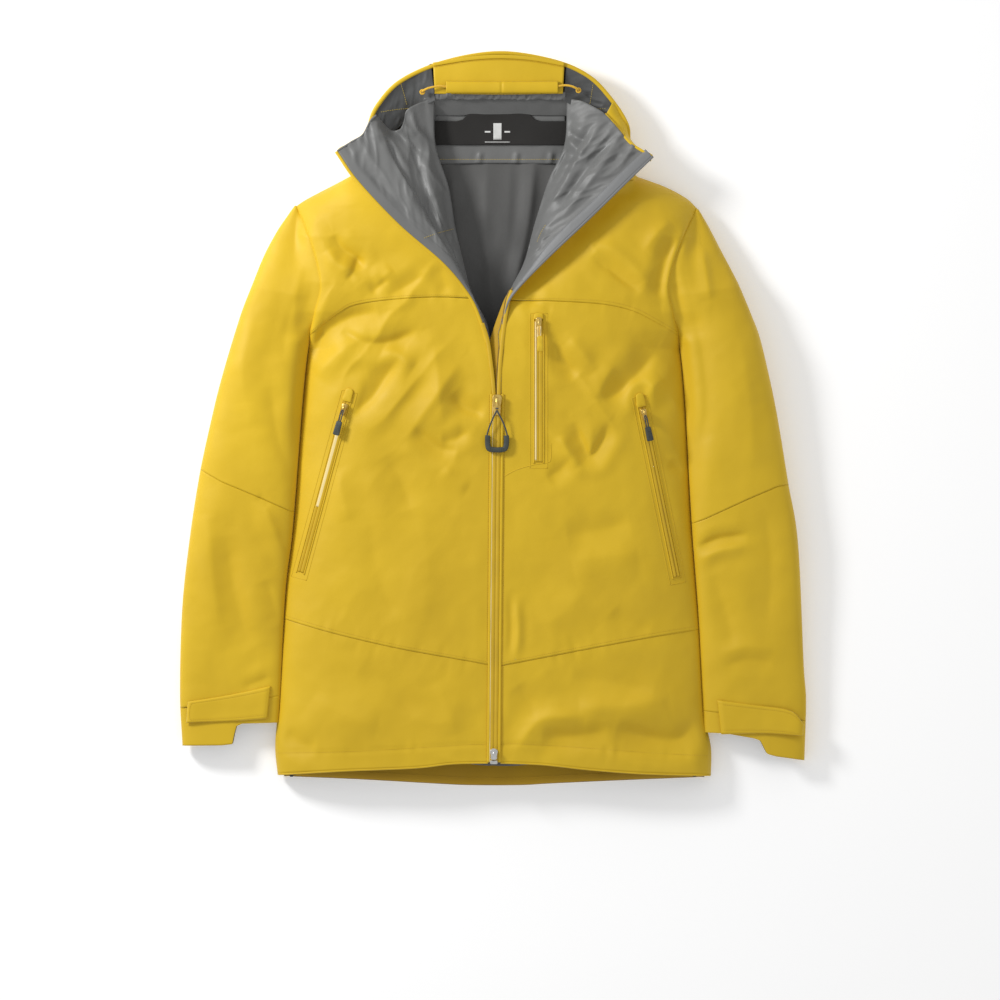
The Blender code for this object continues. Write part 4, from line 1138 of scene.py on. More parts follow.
# smooth facing band along the left rim
band = smooth(LAPEL_RIM["left"], 220)[56:]
inward = np.gradient(band, axis=0)
inward = np.column_stack([-inward[:, 1], inward[:, 0]]) / np.linalg.norm(inward[:, :2], axis=1)[:, None]
wide = 11.5 * ease(np.linspace(0, 1, len(band)), -0.15, 0.35)
cols = []
for share in np.linspace(0, 1, 8):
    col = band.copy()
    col[:, :2] += inward * (wide * share)[:, None]
    cols.append(col)
grid = np.stack(cols, axis=1)
grid[..., 2] = LAPEL_HEIGHT["left"](grid[..., 0], grid[..., 1]) + 0.7
place(cloth("left_rim_band", grid, "facing_light", "facing_light", flip=True, thick=0.4), slot="backer_grey")
edge_roll("left_crest_roll", LAPEL_CREST["left"][:5], 3.4, 2.8, "shell", -0.6)
edge_roll("right_crest_roll", LAPEL_CREST["right"][:5], 2.6, 3.6, "backer", -0.9, slot="backer_grey")

# ---------------------------------------------------------------- hood

HOOD_OUTLINE = [(-150, 340), (-151, 360), (-141, 384), (-113, 413), (-60, 436), (8, 447), (75, 437),
                (118, 418), (146, 389), (164, 360), (166, 338)]
NECK_LINE = [(-92, 322), (8, 324), (108, 322)]
BOWL = [(0, 0.4), (0.45, 0.4), (0.86, 0.4), (0.92, 5), (0.965, 15), (0.99, 25), (1, 34)]


def hood_bowl():
    outline, neck = smooth(HOOD_OUTLINE, 170), smooth(NECK_LINE, 170)
    shares = np.concatenate([np.linspace(0, 0.86, 36), np.linspace(0.87, 1, 22)])
    dense = smooth([(s, z, 0) for s, z in BOWL], 120)
    grid = np.empty((len(shares), 170, 3))
    for r, share in enumerate(shares):
        grid[r, :, :2] = neck + (outline - neck) * share
        grid[r, :, 2] = np.interp(share, dense[:, 0], dense[:, 1])
    return grid


bowl = hood_bowl()
place(cloth("hood_shell_cloth", bowl, flip=True), slot="shell_yellow", nodes=["hood_shell"])
lip = smooth([(x, y, 34.5) for x, y in HOOD_OUTLINE], step=2.2)
inset = lip + np.stack([np.interp(lip[:, 0], [-150, 0, 166], [1.2, 0, -1.2]), -1.4 + 0 * lip[:, 0],
                        0 * lip[:, 0]], axis=1)
place(strip("hood_edge_roll", inset, round_profile(5.2, 4.4, 12, 0.85), "shell"), slot="shell_yellow")

# the hood's outer side shows beyond the left lapel's top edge
fold_top = [(193, 318, 60), (166, 335, 54), (151, 353, 48), (137, 370, 43)]
fold_low = [(192, 313, 50), (169, 336, 30), (165, 360, 30), (147, 388, 35)]
grid = ruled_patch(fold_low, fold_top, 60, 22)
share = np.linspace(0, 1, 22)[:, None]
grid[..., 2] += 3.2 * np.sin(math.pi * share) + 0.8 * noise(grid[..., 0], grid[..., 1], 14, 81)
place(cloth("left_hood_fold", grid), slot="shell_yellow")

# the collar's outer face, from the neck up to the lapel's rim
COLLAR_WALL = {
    "right": ([(-169, 291, 3), (-167, 302, 3), (-163, 314, 3), (-157, 325, 3), (-151, 338, 4),
               (-151, 352, 12)],
              [(-165, 289, 68), (-177, 307, 66), (-189.5, 325, 61.5), (-172, 336.5, 58), (-158, 346, 54),
               (-150, 361, 49)]),
    "left": ([(171, 291, 3), (169, 302, 3), (167, 314, 3), (165, 325, 3), (165, 338, 4), (165, 350, 12)],
             [(166, 290, 68), (179, 305, 66), (193.5, 319, 61.5), (181, 327, 58), (167, 337, 54),
              (160, 346, 50)]),
}
for side, (low, high) in COLLAR_WALL.items():
    grid = ruled_patch(low, high, 44, 26)
    share = np.linspace(0, 1, 26)[:, None]
    bow = SIGN[side] * np.sin(math.pi * share)
    grid[..., 0] += 2.2 * bow + 0.7 * noise(grid[..., 1], grid[..., 2], 15, 121) * np.abs(bow)
    place(cloth(side + "_collar_wall", grid, flip=side == "right", uvs=grid[..., [1, 2]]),
          slot="shell_yellow")

# dark sides of the hood
HOOD_SIDES = {
    "right": ([(-70, 388, 35), (-95, 376, 24), (-112, 358, 22), (-128, 344, 24)],
              [(-75, 433, 37), (-108, 413, 36.5), (-130, 394, 36), (-146, 369, 36)]),
    "left": ([(86, 388, 35), (104, 378, 28), (122, 370, 30), (139, 364, 36)],
             [(89, 433, 37), (118, 415, 36.5), (134, 399, 36), (147, 381, 36)]),
}
HOOD_HEIGHT = {}
for side, (low, high) in HOOD_SIDES.items():
    grid = ruled_patch(low, high, 56, 34)
    x, y = grid[..., 0], grid[..., 1]
    inside = np.sin(math.pi * np.linspace(0, 1, 34))[:, None] ** 0.5
    tilt = -30 if side == "left" else 40
    ridges = 1.5 * crinkle(x, y, tilt, 40, 13, 91) + 0.7 * crinkle(x, y, tilt + 40, 20, 6, 95)
    grid[..., 2] += inside * ridges - 1.2
    HOOD_HEIGHT[side] = nearest_height(grid)
    place(cloth(side + "_hood_side_cloth", grid, "hood_dark", "shell", flip=side == "right"),
          slot="hood_grey", nodes=[side + "_hood_side"])

# brim, with the gathered band and the cord tunnel under it
low = [(-71, 396, 37), (8, 395, 38), (85, 396, 37)]
high = [(-73, 434, 36.5), (-30, 441, 38), (8, 443.5, 38.5), (48, 441, 38), (87, 434, 36.5)]
grid = ruled_patch(low, high, 70, 24)
row = np.linspace(0, 1, 24)[:, None]
grid[..., 2] += 2.2 * np.sin(math.pi * row) + 0.35 * noise(grid[..., 0], grid[..., 1], 24, 101)
grid[..., 2] -= 0.5 * np.exp(-(((grid[..., 1] - 439 + ((grid[..., 0] - 8) / 26) ** 2 * 0.9) / 1.1) ** 2))
place(cloth("hood_brim_cloth", grid), slot="shell_yellow", nodes=["hood_brim"])

x = np.linspace(-70, 88, 190)
rows = np.linspace(0, 1, 12)
X, V = np.meshgrid(x, rows)
gather = 1.5 * noise(X, 0 * X, 3.6, 105) + 0.8 * noise(X, 0 * X, 2.2, 106)
Y = 398 - 9 * V + 0.5 * gather * V
Z = 36.0 - 4.5 * V**1.5 + 1.3 * gather * np.sin(math.pi * np.clip(V * 0.9 + 0.12, 0, 1))
place(cloth("hood_band_cloth", np.stack([X, Y, Z], axis=-1), "backer", flip=True), slot="backer_grey",
      nodes=["hood_band"])
x = np.linspace(-57, 79, 120)
turn = np.linspace(0, 1, 20)
X, T = np.meshgrid(x, turn)
angle = math.pi * (0.06 + 0.9 * T)
slack = 0.5 * noise(X, T * 9, 19, 107) - 1.2 * np.exp(-(((X - 10.5) / 1.4) ** 2))
Y = 403.6 - (7.4 + 0.3 * slack) * np.cos(angle)
Z = 38.6 + (5.6 + 0.7 * slack) * np.sin(angle) ** 0.55
place(cloth("hood_tunnel_cloth", np.stack([X, Y, Z], axis=-1)), slot="shell_yellow",
      nodes=["hood_adjuster_tunnel"])

# neck facing and its label
low = [(-74, 312, 4.6), (8, 313, 4.6), (90, 312, 4.6)]
high = [(-72, 378, 12), (8, 380, 12), (88, 378, 12)]
grid = ruled_patch(low, high, 80, 36)
x, y = grid[..., 0], grid[..., 1]
grid[..., 2] += 0.8 * noise(x, y * 0.5, 18, 111) + puckers(x, y, [(-70, 319), (86, 319)], 112, 8, 1.6)
grid[..., 2] += fold_height(x, y, [(2.2, 3, 0, [(x0, 326), (x0 - 1, 312)]) for x0 in (-16, 29, 71)])
place(cloth("neck_facing_cloth", grid, "backer"), slot="backer_grey", nodes=["neck_facing"])
LABEL_TOP = [(-80, 364), (-44, 364), (-37, 366), (-29, 374), (-21, 377), (36, 377), (44, 374), (51, 366),
             (59, 364), (98, 364)]
x = np.linspace(-74, 95, 160)
top = np.interp(x, *zip(*LABEL_TOP))
V = np.linspace(0, 1, 24)[:, None]
Y = 335 + (top[None] - 335) * V
X = x[None] + 0 * V
Z = 9.4 + 4.6 * (Y - 335) / 40 + 0.5 * noise(X, Y, 30, 113)
place(cloth("neck_label_cloth", np.stack([X, Y, Z], axis=-1), "label", "label", thick=0.4),
      slot="label_black", nodes=["neck_label"])
# the back of the hood's inside, above the label
low = [(-92, 370, 12), (8, 371, 12.5), (106, 370, 12)]
high = [(-84, 391, 29.5), (8, 392, 31), (98, 391, 29.5)]
grid = ruled_patch(low, high, 60, 20)
grid[..., 2] += 0.9 * noise(grid[..., 0], grid[..., 1] * 0.6, 21, 115)
place(cloth("hood_lining", grid, "backer"), slot="backer_grey")

# a folded band along the brim's edge, and the stitching of the hood
band = smooth([(-73, 431.6, 38.3), (-30, 438.4, 39.6), (8, 440.8, 40), (48, 438.4, 39.6),
               (87, 431.6, 38.3)], step=2)
place(strip("hood_brim_band", band, round_profile(4.4, 1.6, 12, 0.7), "shell"), slot="shell_yellow")
line = band - (0, 3.4, 0.1)
place(stitches("hood_brim_stitch", line, "thread", 2.6, 1.9, 0.4), slot="shell_yellow")


def laid(name, points, height, finish="thread_gold", lift=0.35):
    """Stitches that follow a line laid on a surface."""
    path = smooth(points, step=1.6)
    path = np.column_stack([path, height(path[:, 0], path[:, 1]) + lift])
    return place(stitches(name, path, finish, 2.8, 2.0, 0.5), slot="shell_yellow")


SIDE_STITCHES = {
    "right": [[(-113, 411), (-109, 398), (-105, 383)], [(-137, 374), (-120, 377), (-101, 379)]],
    "left": [[(122, 408), (120, 396), (118, 383)], [(113, 379), (126, 378), (138, 378)]],
}
for side, lines in SIDE_STITCHES.items():
    for k, points in enumerate(lines):
        laid(f"{side}_hood_side_stitch_{k}", points, HOOD_HEIGHT[side])
laid("right_lapel_stitch", [(-84, 219), (-66, 226), (-47, 232)], LAPEL_HEIGHT["right"])
laid("left_lapel_stitch", [(64, 236), (58, 226), (53, 214)], LAPEL_HEIGHT["left"])

# plain generic marks on the label, with no lettering
for k, (x0, x1, y0, y1) in enumerate(((0.5, 10.5, 341.5, 361.5), (-10, -3, 350, 352), (14, 21, 350, 352),
                                      (-10, 21, 338.2, 339.0))):
    px, py = np.meshgrid(np.linspace(x0, x1, 12), np.linspace(y0, y1, 8))
    pz = 9.4 + 4.6 * (py - 335) / 40 + 0.5 * noise(px, py, 30, 113) + 0.35
    place(cloth(f"neck_label_mark_{k}", np.stack([px, py, pz], axis=-1), "label_print", "label_print",
                thick=0.2),
          slot="label_black")

# eyelets and hood cords
for side, (ex, ey), (cx, cy) in (("right", (-86, 398), (-57, 404.5)), ("left", (104, 400), (79, 405.5))):
    ring = [(ex + 2.5 * math.cos(a), ey + 2.5 * math.sin(a), 39.4)
            for a in np.linspace(0, 2 * math.pi, 33)[:-1]]
    place(strip(side + "_eyelet_ring", ring, round_profile(2.0, 1.6, 8), "cord_yellow", closed=True),
          slot="eyelet_metal", nodes=[side + "_hood_eyelet"])
    way = 1 if ex > cx else -1
    route = [(cx - way * 9, cy - 1, 41.5), (cx, cy - 0.5, 42.2), (cx + way * 9, cy + 0.4, 43.2),
             (ex - way * 8, ey + 4.6, 43.8), (ex - way * 1.5, ey + 1.6, 42.6), (ex, ey, 39.0)]
    place(tube(side + "_hood_cord_run", smooth(route, 30), 2.7, "cord_yellow"), slot="cord_yellow",
          nodes=[side + "_hood_cord"])

# ---------------------------------------------------------------- main zip


def main_line(start, end, away=0.0, lift=0.0, step=2.0):
    """Points along the main zip between two distances from its top, in millimetres."""
    top = np.array([*ZIP_TOP, CHEST_HEIGHT])
    foot = np.array([*ZIP_FOOT, HEM_HEIGHT])
    way = (foot - top) / np.linalg.norm(foot - top)
    count = max(2, int((end - start) / step) + 1)
    run = np.linspace(start, end, count)[:, None]
    return top + way * run + np.array([away, 0, lift])


ZIP_LENGTH = 447.3
half_film = [(-2.45, -0.3), (-2.45, 0.3), (-1.9, 0.75), (0, 1.0), (1.9, 0.9), (2.35, 0.45), (2.35, -0.3)]
for side, sign in SIGN.items():
    line = main_line(4, ZIP_LENGTH + 1, sign * 2.5, 1.0)
    film_piece = strip(side + "_main_film", line, half_film[::-1] if sign < 0 else half_film, "zip_film")
    place(film_piece, slot="zip_film", nodes=[f"main_zip_{side}_tape"])
    # folded cloth lip beside the film
    line = main_line(0, ZIP_LENGTH + 0.5, sign * 6.6, 1.0)
    line[:, 2] += 0.25 * noise(line[:, 1], 0 * line[:, 1], 19, 131)
    place(strip(side + "_main_zip_lip", line, round_profile(3.4, 2.6, 12, 0.8), "shell"), slot="shell_yellow")
    line = main_line(0, ZIP_LENGTH - 4, sign * 9.6, 1.15, 1.5)
    line[:, 2] = front_z(line[:, 0], line[:, 1]) + 0.75
    place(stitches(side + "_main_zip_stitch", line, "thread", 2.6, 1.9, 0.34), slot="shell_yellow")
line = main_line(4, ZIP_LENGTH + 1, 0, 0.9)
place(strip("main_zip_chain_film", line, round_profile(1.3, 1.5, 8), "coil"), slot="zip_teeth",
      nodes=["main_zip_chain"])
# a cream line down the left of the main zip's film: a painted highlight
line = main_line(4, ZIP_LENGTH, -5.1, 1.7)
place(strip("main_zip_painted_highlight", line, round_profile(1.1, 1.0, 8), "cream_and_painted_highlight"), slot="zip_film")
for sign, letter in ((1, "a"), (-1, "b")):
    line = main_line(4, ZIP_LENGTH, sign * 5.75, 0.9)
    place(strip("main_zip_shadow_" + letter, line, round_profile(0.5, 0.5, 6), "teeth"), slot="zip_teeth")

# above the slider each side of the zip follows its open rim
TEETH_LINE = [(4.0, 24, 60.2), (4.6, 46, 59.6), (6.3, 74, 59.4), (10.3, 110, 59.2), (15.2, 142, 60),
              (20, 156, 61)]
place(strip("left_open_teeth", smooth(TEETH_LINE, step=1.6), round_profile(1.9, 1.4, 8), "teeth"),
      slot="zip_teeth")
line = smooth([(x + 3.0, y, z + 0.9) for x, y, z in TEETH_LINE], step=1.6)
place(strip("left_open_film", line, half_film, "zip_film"), slot="zip_film")
# a dark line where the film meets the lip: painted shade in the gap
line = smooth([(x + 5.6, y, z + 0.3) for x, y, z in TEETH_LINE], step=1.6)
place(strip("left_open_gap_painted_shade", line, round_profile(0.9, 0.9, 8), "teeth"), slot="zip_teeth")
# the wind flap uses the facing's darkened yellow, a painted shade
flap_low = [(2.4, 22, 57.4), (-3.0, 60, 55.6), (-7, 86, 53), (-2, 102, 53), (4, 120, 54), (14, 146, 57),
            (22, 158, 60)]
flap_high = [(4.2, 22, 59), (5.4, 60, 59), (7.6, 86, 59), (9.4, 103, 59), (11.4, 120, 59.2), (17, 147, 60),
             (24, 160, 61)]
grid = ruled_patch(flap_low, flap_high, 60, 8)
place(cloth("wind_flap", grid, "facing", "facing", flip=True), slot="shell_yellow")
OPEN_RIGHT = [(1.4, 24, 61.0), (-0.2, 46, 60.8), (-3.4, 74, 60.4), (-6.8, 96, 60.2), (-13, 116, 61)]
line = smooth(OPEN_RIGHT, step=1.6)
place(strip("right_open_film", line, [(-a, b) for a, b in half_film][::-1], "zip_film"), slot="zip_film")


def frame_at(origin, down, out):
    """Axes of a zip part: X across, Y up the zip, Z out of the cloth."""
    up = -np.array(down, float)
    up /= np.linalg.norm(up)
    out = np.array(out, float) - up * np.dot(out, up)
    out /= np.linalg.norm(out)
    return np.array(origin, float), np.cross(up, out), up, out


def seat(obj, frame_axes):
    """Moves a piece made about the origin onto a zip's axes, by its points."""
    origin, across, up, out = frame_axes
    turn = Matrix((across, up, out)).transposed().to_4x4()
    obj.data.transform(Matrix.Translation(Vector(origin) * MM) @ turn)
    obj.data.update()
    return obj


def blob(name, outline, low, high, finish, edge=0.8, crown=0.0):
    """A moulded plate with rounded edges and a slight crown, from an outline in plan."""
    outline = np.array(outline, float)
    centre = outline.mean(axis=0)
    inward = (centre - outline) / np.linalg.norm(centre - outline, axis=1)[:, None]
    rings = []
    for height, pull in ((low, edge), (low + edge * 0.35, edge * 0.25), (low + edge, 0), (high - edge, 0),
                         (high - edge * 0.35, edge * 0.25), (high, edge)):
        rings.append(np.column_stack([outline + inward * pull, np.full(len(outline), height)]))
    for share, lift in ((0.66, 0.55), (0.33, 0.9)):
        plan = centre + (outline + inward * edge - centre) * share
        rings.append(np.column_stack([plan, np.full(len(outline), high + crown * lift)]))
    count = len(outline)
    points = np.concatenate(rings + [[(centre[0], centre[1], high + crown)], [(centre[0], centre[1], low)]])
    faces = grid_faces(len(rings), count, ring=True).tolist()
    top, under = len(points) - 2, len(points) - 1
    last = (len(rings) - 1) * count
    faces += [[last + k, last + (k + 1) % count, top] for k in range(count)]
    faces += [[(k + 1) % count, k, under] for k in range(count)]
    return mesh_piece(name, points, faces, [finish], points[:, :2])


def rounded_outline(width, height, corner, at=(0, 0), taper=1.0, per=6):
    points = []
    for cx, cy, start in ((1, 1, 0), (-1, 1, 90), (-1, -1, 180), (1, -1, 270)):
        for k in range(per + 1):
            angle = math.radians(start + 90 * k / per)
            half = width / 2 * (taper if cy < 0 else 1)
            points.append((at[0] + cx * (half - corner) + corner * math.cos(angle),
                           at[1] + cy * (height / 2 - corner) + corner * math.sin(angle)))
    return points


def slider(name, width, length, tall, finish, node, body, axes):
    """A zip slider: two plates, side walls, and a bridge for its pull."""
    shape = [(0.5, 0.30), (0.42, 0.46), (0.2, 0.5), (-0.2, 0.5), (-0.42, 0.46), (-0.5, 0.30), (-0.36, -0.2),
             (-0.33, -0.44), (-0.22, -0.5), (0.22, -0.5), (0.33, -0.44), (0.36, -0.2)]
    outline = smooth([(x * width, y * length) for x, y in shape + shape[:1]], 40)[:-1]
    pieces = [blob(name + "_top", outline, tall * 0.30, tall * 0.62, finish, 0.5, 0.25),
              blob(name + "_base", outline, -tall * 0.45, -tall * 0.1, finish, 0.4)]
    path = [(0, y, tall * 0.55 + tall * 0.42 * math.sin(math.pi * t)) for t, y in
            zip(np.linspace(0, 1, 14), np.linspace(length * 0.36, -length * 0.3, 14))]
    pieces.append(strip(name + "_bridge", path, round_profile(width * 0.30, 1.3, 10, 0.7), finish))
    for sign in (1, -1):
        path = [(sign * width * 0.36, y, tall * 0.1) for y in np.linspace(length * 0.3, -length * 0.42, 8)]
        pieces.append(strip(name + "_wall", path, round_profile(width * 0.13, tall * 0.7, 8, 0.7), finish))
    obj = seat(joined(name, pieces), axes)
    return place(obj, body, "slider_" + finish, [node])


MAIN_DOWN = (ZIP_FOOT[0] - ZIP_TOP[0], ZIP_FOOT[1] - ZIP_TOP[1], HEM_HEIGHT - CHEST_HEIGHT)


def on_main(run, lift):
    return frame_at(main_line(run, run + 1)[0] + (0, 0, lift), MAIN_DOWN, (0, 0, 1))


slider("main_slider_body", 11.5, 25, 6.4, "bronze", "main_zip_slider", "main_slider", on_main(13, 4.6))

# cord loop and U-shaped grip, hanging from the slider
loop = [(0.2, -19.5, 8.6), (-2.4, -24, 8.7), (-6.0, -32, 7.6), (-9.4, -41, 6.6), (-11.6, -49, 6.0),
        (-11.8, -54, 5.8)]
other = [(-0.2, -19.5, 9.4), (2.4, -24, 9.2), (6.6, -32, 8.0), (10.2, -41, 6.6), (12.6, -49, 6.0),
         (12.8, -54, 5.8)]
cords = [tube("loop_side", smooth(points, 40), 1.9, "cord_dark") for points in (loop, other)]
cords.append(tube("loop_knot", smooth([(-1.4, -17.6, 9), (0, -16.4, 9.2), (1.4, -17.6, 9)], 12), 2.0,
                  "cord_dark"))
obj = seat(joined("main_pull_cord", cords), on_main(0, 0.6))
place(obj, "main_pull", "cord_dark", ["main_zip_pull_cord"])
u_path = smooth([(-10.8, -50.0, 5.6), (-11.2, -56, 5.4), (-10.6, -62.6, 5.2), (-8.6, -66.6, 5.1),
                 (0.3, -67.6, 4.9), (9.2, -66.6, 5.1), (11.4, -62.6, 5.2), (12.0, -56, 5.4),
                 (11.7, -50.0, 5.6)], 60)
grip = strip("main_grip", u_path, round_profile(6.4, 4.8, 20, 0.6), "rubber")
ribs = []
for t in np.linspace(0.34, 0.66, 7):
    p = u_path[int(t * 59)] + (0, 0, 2.2)
    ribs.append(blob("rib", rounded_outline(0.9, 4.0, 0.4, p[:2]), p[2] - 0.6, p[2] + 0.45, "rubber", 0.2))
obj = seat(joined("main_pull_grip", [grip] + ribs), on_main(0, 0.4))
place(obj, "main_pull", "grip_rubber", ["main_zip_pull_grip"])

# lower slider, its pull, and the bottom stop
slider("lower_slider_body", 9.5, 12.5, 5.2, "silver", "main_zip_lower_slider", "lower_slider",
       on_main(438, 3.8))
tab = blob("lower_pull_tab", rounded_outline(5.6, 13.5, 1.8, (0, -0.5)), 0.0, 1.5, "silver", 0.35)
place(seat(tab, on_main(437, 6.6)), "lower_pull", "slider_silver", ["main_zip_lower_pull"])
stop = blob("main_zip_stop", rounded_outline(9.0, 4.6, 1.2), -1.6, 1.9, "silver", 0.5, 0.2)
place(seat(stop, on_main(447.5, 1.2)), slot="slider_silver")

# ---------------------------------------------------------------- pocket zips


def on_front(line, run, lift):
    """Axes on the front's surface at a distance down a pocket zip."""
    (ax, ay), (bx, by) = line
    length = math.hypot(bx - ax, by - ay)
    ux, uy = (bx - ax) / length, (by - ay) / length
    at = lambda s: np.array([ax + ux * s, ay + uy * s, float(front_z(ax + ux * s, ay + uy * s))])
    down = at(run + 8) - at(run - 8)
    side = np.array([-uy, ux, 0])
    span = [float(front_z(*(at(run)[:2] + side[:2] * k))) for k in (-6, 6)]
    tilt = np.array([side[0] * 12, side[1] * 12, span[1] - span[0]])
    out = np.cross(down, tilt)
    out = out if out[2] > 0 else -out
    return frame_at(at(run) + out / np.linalg.norm(out) * lift, down, out)


def front_line(line, start, end, across=0.0, lift=0.0, step=1.8):
    """Points on the front's surface along a pocket zip, shifted to one side."""
    (ax, ay), (bx, by) = line
    length = math.hypot(bx - ax, by - ay)
    ux, uy = (bx - ax) / length, (by - ay) / length
    run = np.linspace(start, end, max(2, int((end - start) / step) + 1))
    x, y = ax + ux * run - uy * across, ay + uy * run + ux * across
    return np.column_stack([x, y, front_z(x, y) + lift])


def pocket_zip(label, line, half, start, end, node, highlight_end=None, highlight_side=None, highlight_width=None):
    """Two film halves with the coil between them, in a welded border."""
    for sign, letter in ((1, "a"), (-1, "b")):
        points = front_line(line, start, end, sign * half / 2, 1.0)
        shape = [(-half / 2, -0.6), (-half / 2, 0.5), (-half * 0.3, 0.8), (half * 0.25, 0.8),
                 (half * 0.42, 0.55), (half / 2, 0.1), (half / 2, -0.6)]
        if sign > 0:
            shape = [(-a, b) for a, b in shape][::-1]
        place(strip(f"{label}_film_{letter}", points, shape[::-1], "zip_film"), slot="zip_film",
              nodes=[node] if sign > 0 else [])
        rim = front_line(line, start - 2, end + 2, sign * (half + 0.9), 0.8)
        place(strip(f"{label}_edge_{letter}", rim, round_profile(1.9, 1.7, 8), "shell"), slot="shell_yellow")
    coil = front_line(line, start, end, 0.0, 1.15)
    place(strip(label + "_coil", coil, round_profile(0.8, 0.9, 8), "coil"), slot="zip_teeth")
    # a pale strip laid on the film: a painted highlight
    if highlight_end:
        points = front_line(line, highlight_end[0], highlight_end[1], highlight_side, 1.8)
        shape = round_profile(highlight_width, 0.8, 10, 0.8)
        place(strip(label + "_light", points, shape, "cream_and_painted_highlight"), slot="zip_film")
    for k, sign in enumerate((1, -1)):
        points = front_line(line, start - 9, end + 8, sign * (half + 5.6), 0.6)
        place(strip(f"{label}_weld_{k}", points, round_profile(0.9, 0.7, 6), "shell"), slot="shell_yellow")
    for k, run in enumerate((start - 9, end + 8)):
        a, b = (front_line(line, run, run + 1, sign * (half + 5.6), 0.6)[0] for sign in (-1, 1))
        steps = np.linspace(0, 1, 12)[:, None]
        points = a + (b - a) * steps
        points[:, 2] = front_z(points[:, 0], points[:, 1]) + 0.6
        place(strip(f"{label}_weld_end_{k}", points, round_profile(0.9, 0.7, 6), "shell"),
              slot="shell_yellow")


def garage(label, line, run, width, length, nodes=()):
    """The little hood of cloth that hides a closed slider."""
    shape = [(0.5, -0.46), (0.5, 0.1), (0.44, 0.36), (0.2, 0.5), (-0.2, 0.5), (-0.44, 0.36), (-0.5, 0.1),
             (-0.5, -0.46)]
    outline = smooth([(x * width, y * length) for x, y in shape + shape[:1]], 44)[:-1]
    obj = blob(label + "_garage_cloth", outline, 0.6, 2.8, "shell", 0.9, 0.5)
    place(seat(obj, on_front(line, run, 0.4)), slot="shell_yellow", nodes=nodes)


HAND_LENGTH = {side: math.dist(*HAND_ZIP[side]) for side in SIGN}
for side, sign in SIGN.items():
    line, name = HAND_ZIP[side], side + "_hand_zip"
    # the right hand zip has a wide painted highlight on its film
    light = ((54, 150), 0.0, 6.0) if side == "right" else ()
    pocket_zip(name, line, 4.0, 14, HAND_LENGTH[side] - 3, name + "_tape", *light)
    garage(name, line, 9.5, 10.5, 17, [name + "_garage"])
    slider(name + "_slider_body", 6.5, 14, 5.0, "bronze", name + "_slider", side + "_hand_slider",
           on_front(line, 27, 5.0))
    axes = on_front(line, 31, 8.6)
    cord = [tube("pull_cord", smooth(points, 20), 1.5, "cord_dark") for points in
            ([(0.9, 2.2, 1.2), (1.3, -3, 2.1), (1.1, -9, 1.6), (0.7, -13, 1.2)],
             [(-0.9, 2.2, 1.2), (-1.3, -3, 2.1), (-1.1, -9, 1.6), (-0.7, -13, 1.2)],
             [(-0.9, 2.0, 1.2), (0, 3.0, 1.2), (0.9, 2.0, 1.2)])]
    tab = blob("tab", rounded_outline(7.0, 17.5, 1.6, (0, -20.0), 1.15), 0.0, 3.3, "rubber", 0.7, 0.3)
    groove = [blob("rib", rounded_outline(4.4, 0.9, 0.4, (0, -16.5 - 2.6 * k)), 3.1, 3.9, "rubber", 0.2)
              for k in range(4)]
    obj = seat(joined(name + "_pull_tab", cord + [tab] + groove), axes)
    place(obj, side + "_hand_pull", "grip_rubber", [name + "_pull"])

CHEST_LENGTH = math.dist(*CHEST_ZIP)
# the chest zip has a thin painted highlight line along one film
pocket_zip("chest_zip", CHEST_ZIP, 4.9, 8, CHEST_LENGTH - 2, "chest_zip_tape", (9, CHEST_LENGTH - 4), -3.6,
           2.2)
garage("chest_zip", CHEST_ZIP, 2.5, 11, 8)
slider("chest_slider_body", 7.5, 16, 5.0, "bronze", "chest_zip_slider", "chest_slider",
       on_front(CHEST_ZIP, 12, 5.0))
axes = on_front(CHEST_ZIP, 16, 8.8)
cord = [tube("pull_cord", smooth(points, 20), 1.3, "cord_yellow") for points in
        ([(0.7, 2.0, 1.0), (1.1, -4, 1.9), (0.8, -10, 1.4)],
         [(-0.7, 2.0, 1.0), (-1.1, -4, 1.9), (-0.8, -10, 1.4)])]
# the ribbon is in the same pale colour as the painted highlights
ribbon = blob("ribbon", rounded_outline(5.0, 13.5, 0.8, (0.4, -5.5)), 0.2, 1.6, "cream_and_painted_highlight", 0.3, 0.2)
tab = blob("tab", rounded_outline(6.6, 19.0, 1.9, (1.6, -20.0), 1.12), 0.0, 2.9, "pull_yellow", 0.8, 0.4)
obj = seat(joined("chest_pull_tab", cord + [ribbon, tab]), axes)
place(obj, "chest_pull", "cord_yellow", ["chest_zip_pull"])

# welded seam that closes the chest pocket
seam = smooth([(13, -70), (28, -62), (48, -56), (66, -53), (70, -48), (70, -30)], step=1.5)
seam = np.column_stack([seam, front_z(seam[:, 0], seam[:, 1]) + 0.62])
place(strip("chest_pocket_weld", seam, round_profile(1.0, 0.7, 6), "shell"), slot="shell_yellow")

# pocket bags behind the front, seen from inside


def pocket_bag(name, bottom, top, drop, node):
    grid = ruled_patch(bottom, top, 40, 60)
    x, y = grid[..., 0], grid[..., 1]
    z = np.minimum(smooth_front(x, y) - drop + 0.7 * noise(x, y, 26, 141), front_z(x, y) - 3.0)
    place(cloth(name, np.stack([x, y, z], axis=-1), "backer"), slot="backer_grey", nodes=[node])


pocket_bag("chest_bag_cloth", [(34, -72), (66, -76), (106, -70)], [(34, 134), (70, 134), (104, 130)], 6.0,
           "chest_pocket_bag")
for side, sign in SIGN.items():
    bag_low = [(sign * 66, -226), (sign * 142, -234), (sign * 219, -214)]
    bag_high = [(sign * 82, 46), (sign * 134, 52), (sign * 186, 48)]
    pocket_bag(side + "_hand_bag_cloth", bag_low[::int(sign)], bag_high[::int(sign)], 8.0,
               side + "_hand_pocket_bag")

# ---------------------------------------------------------------- cuff tabs, hem and stitching


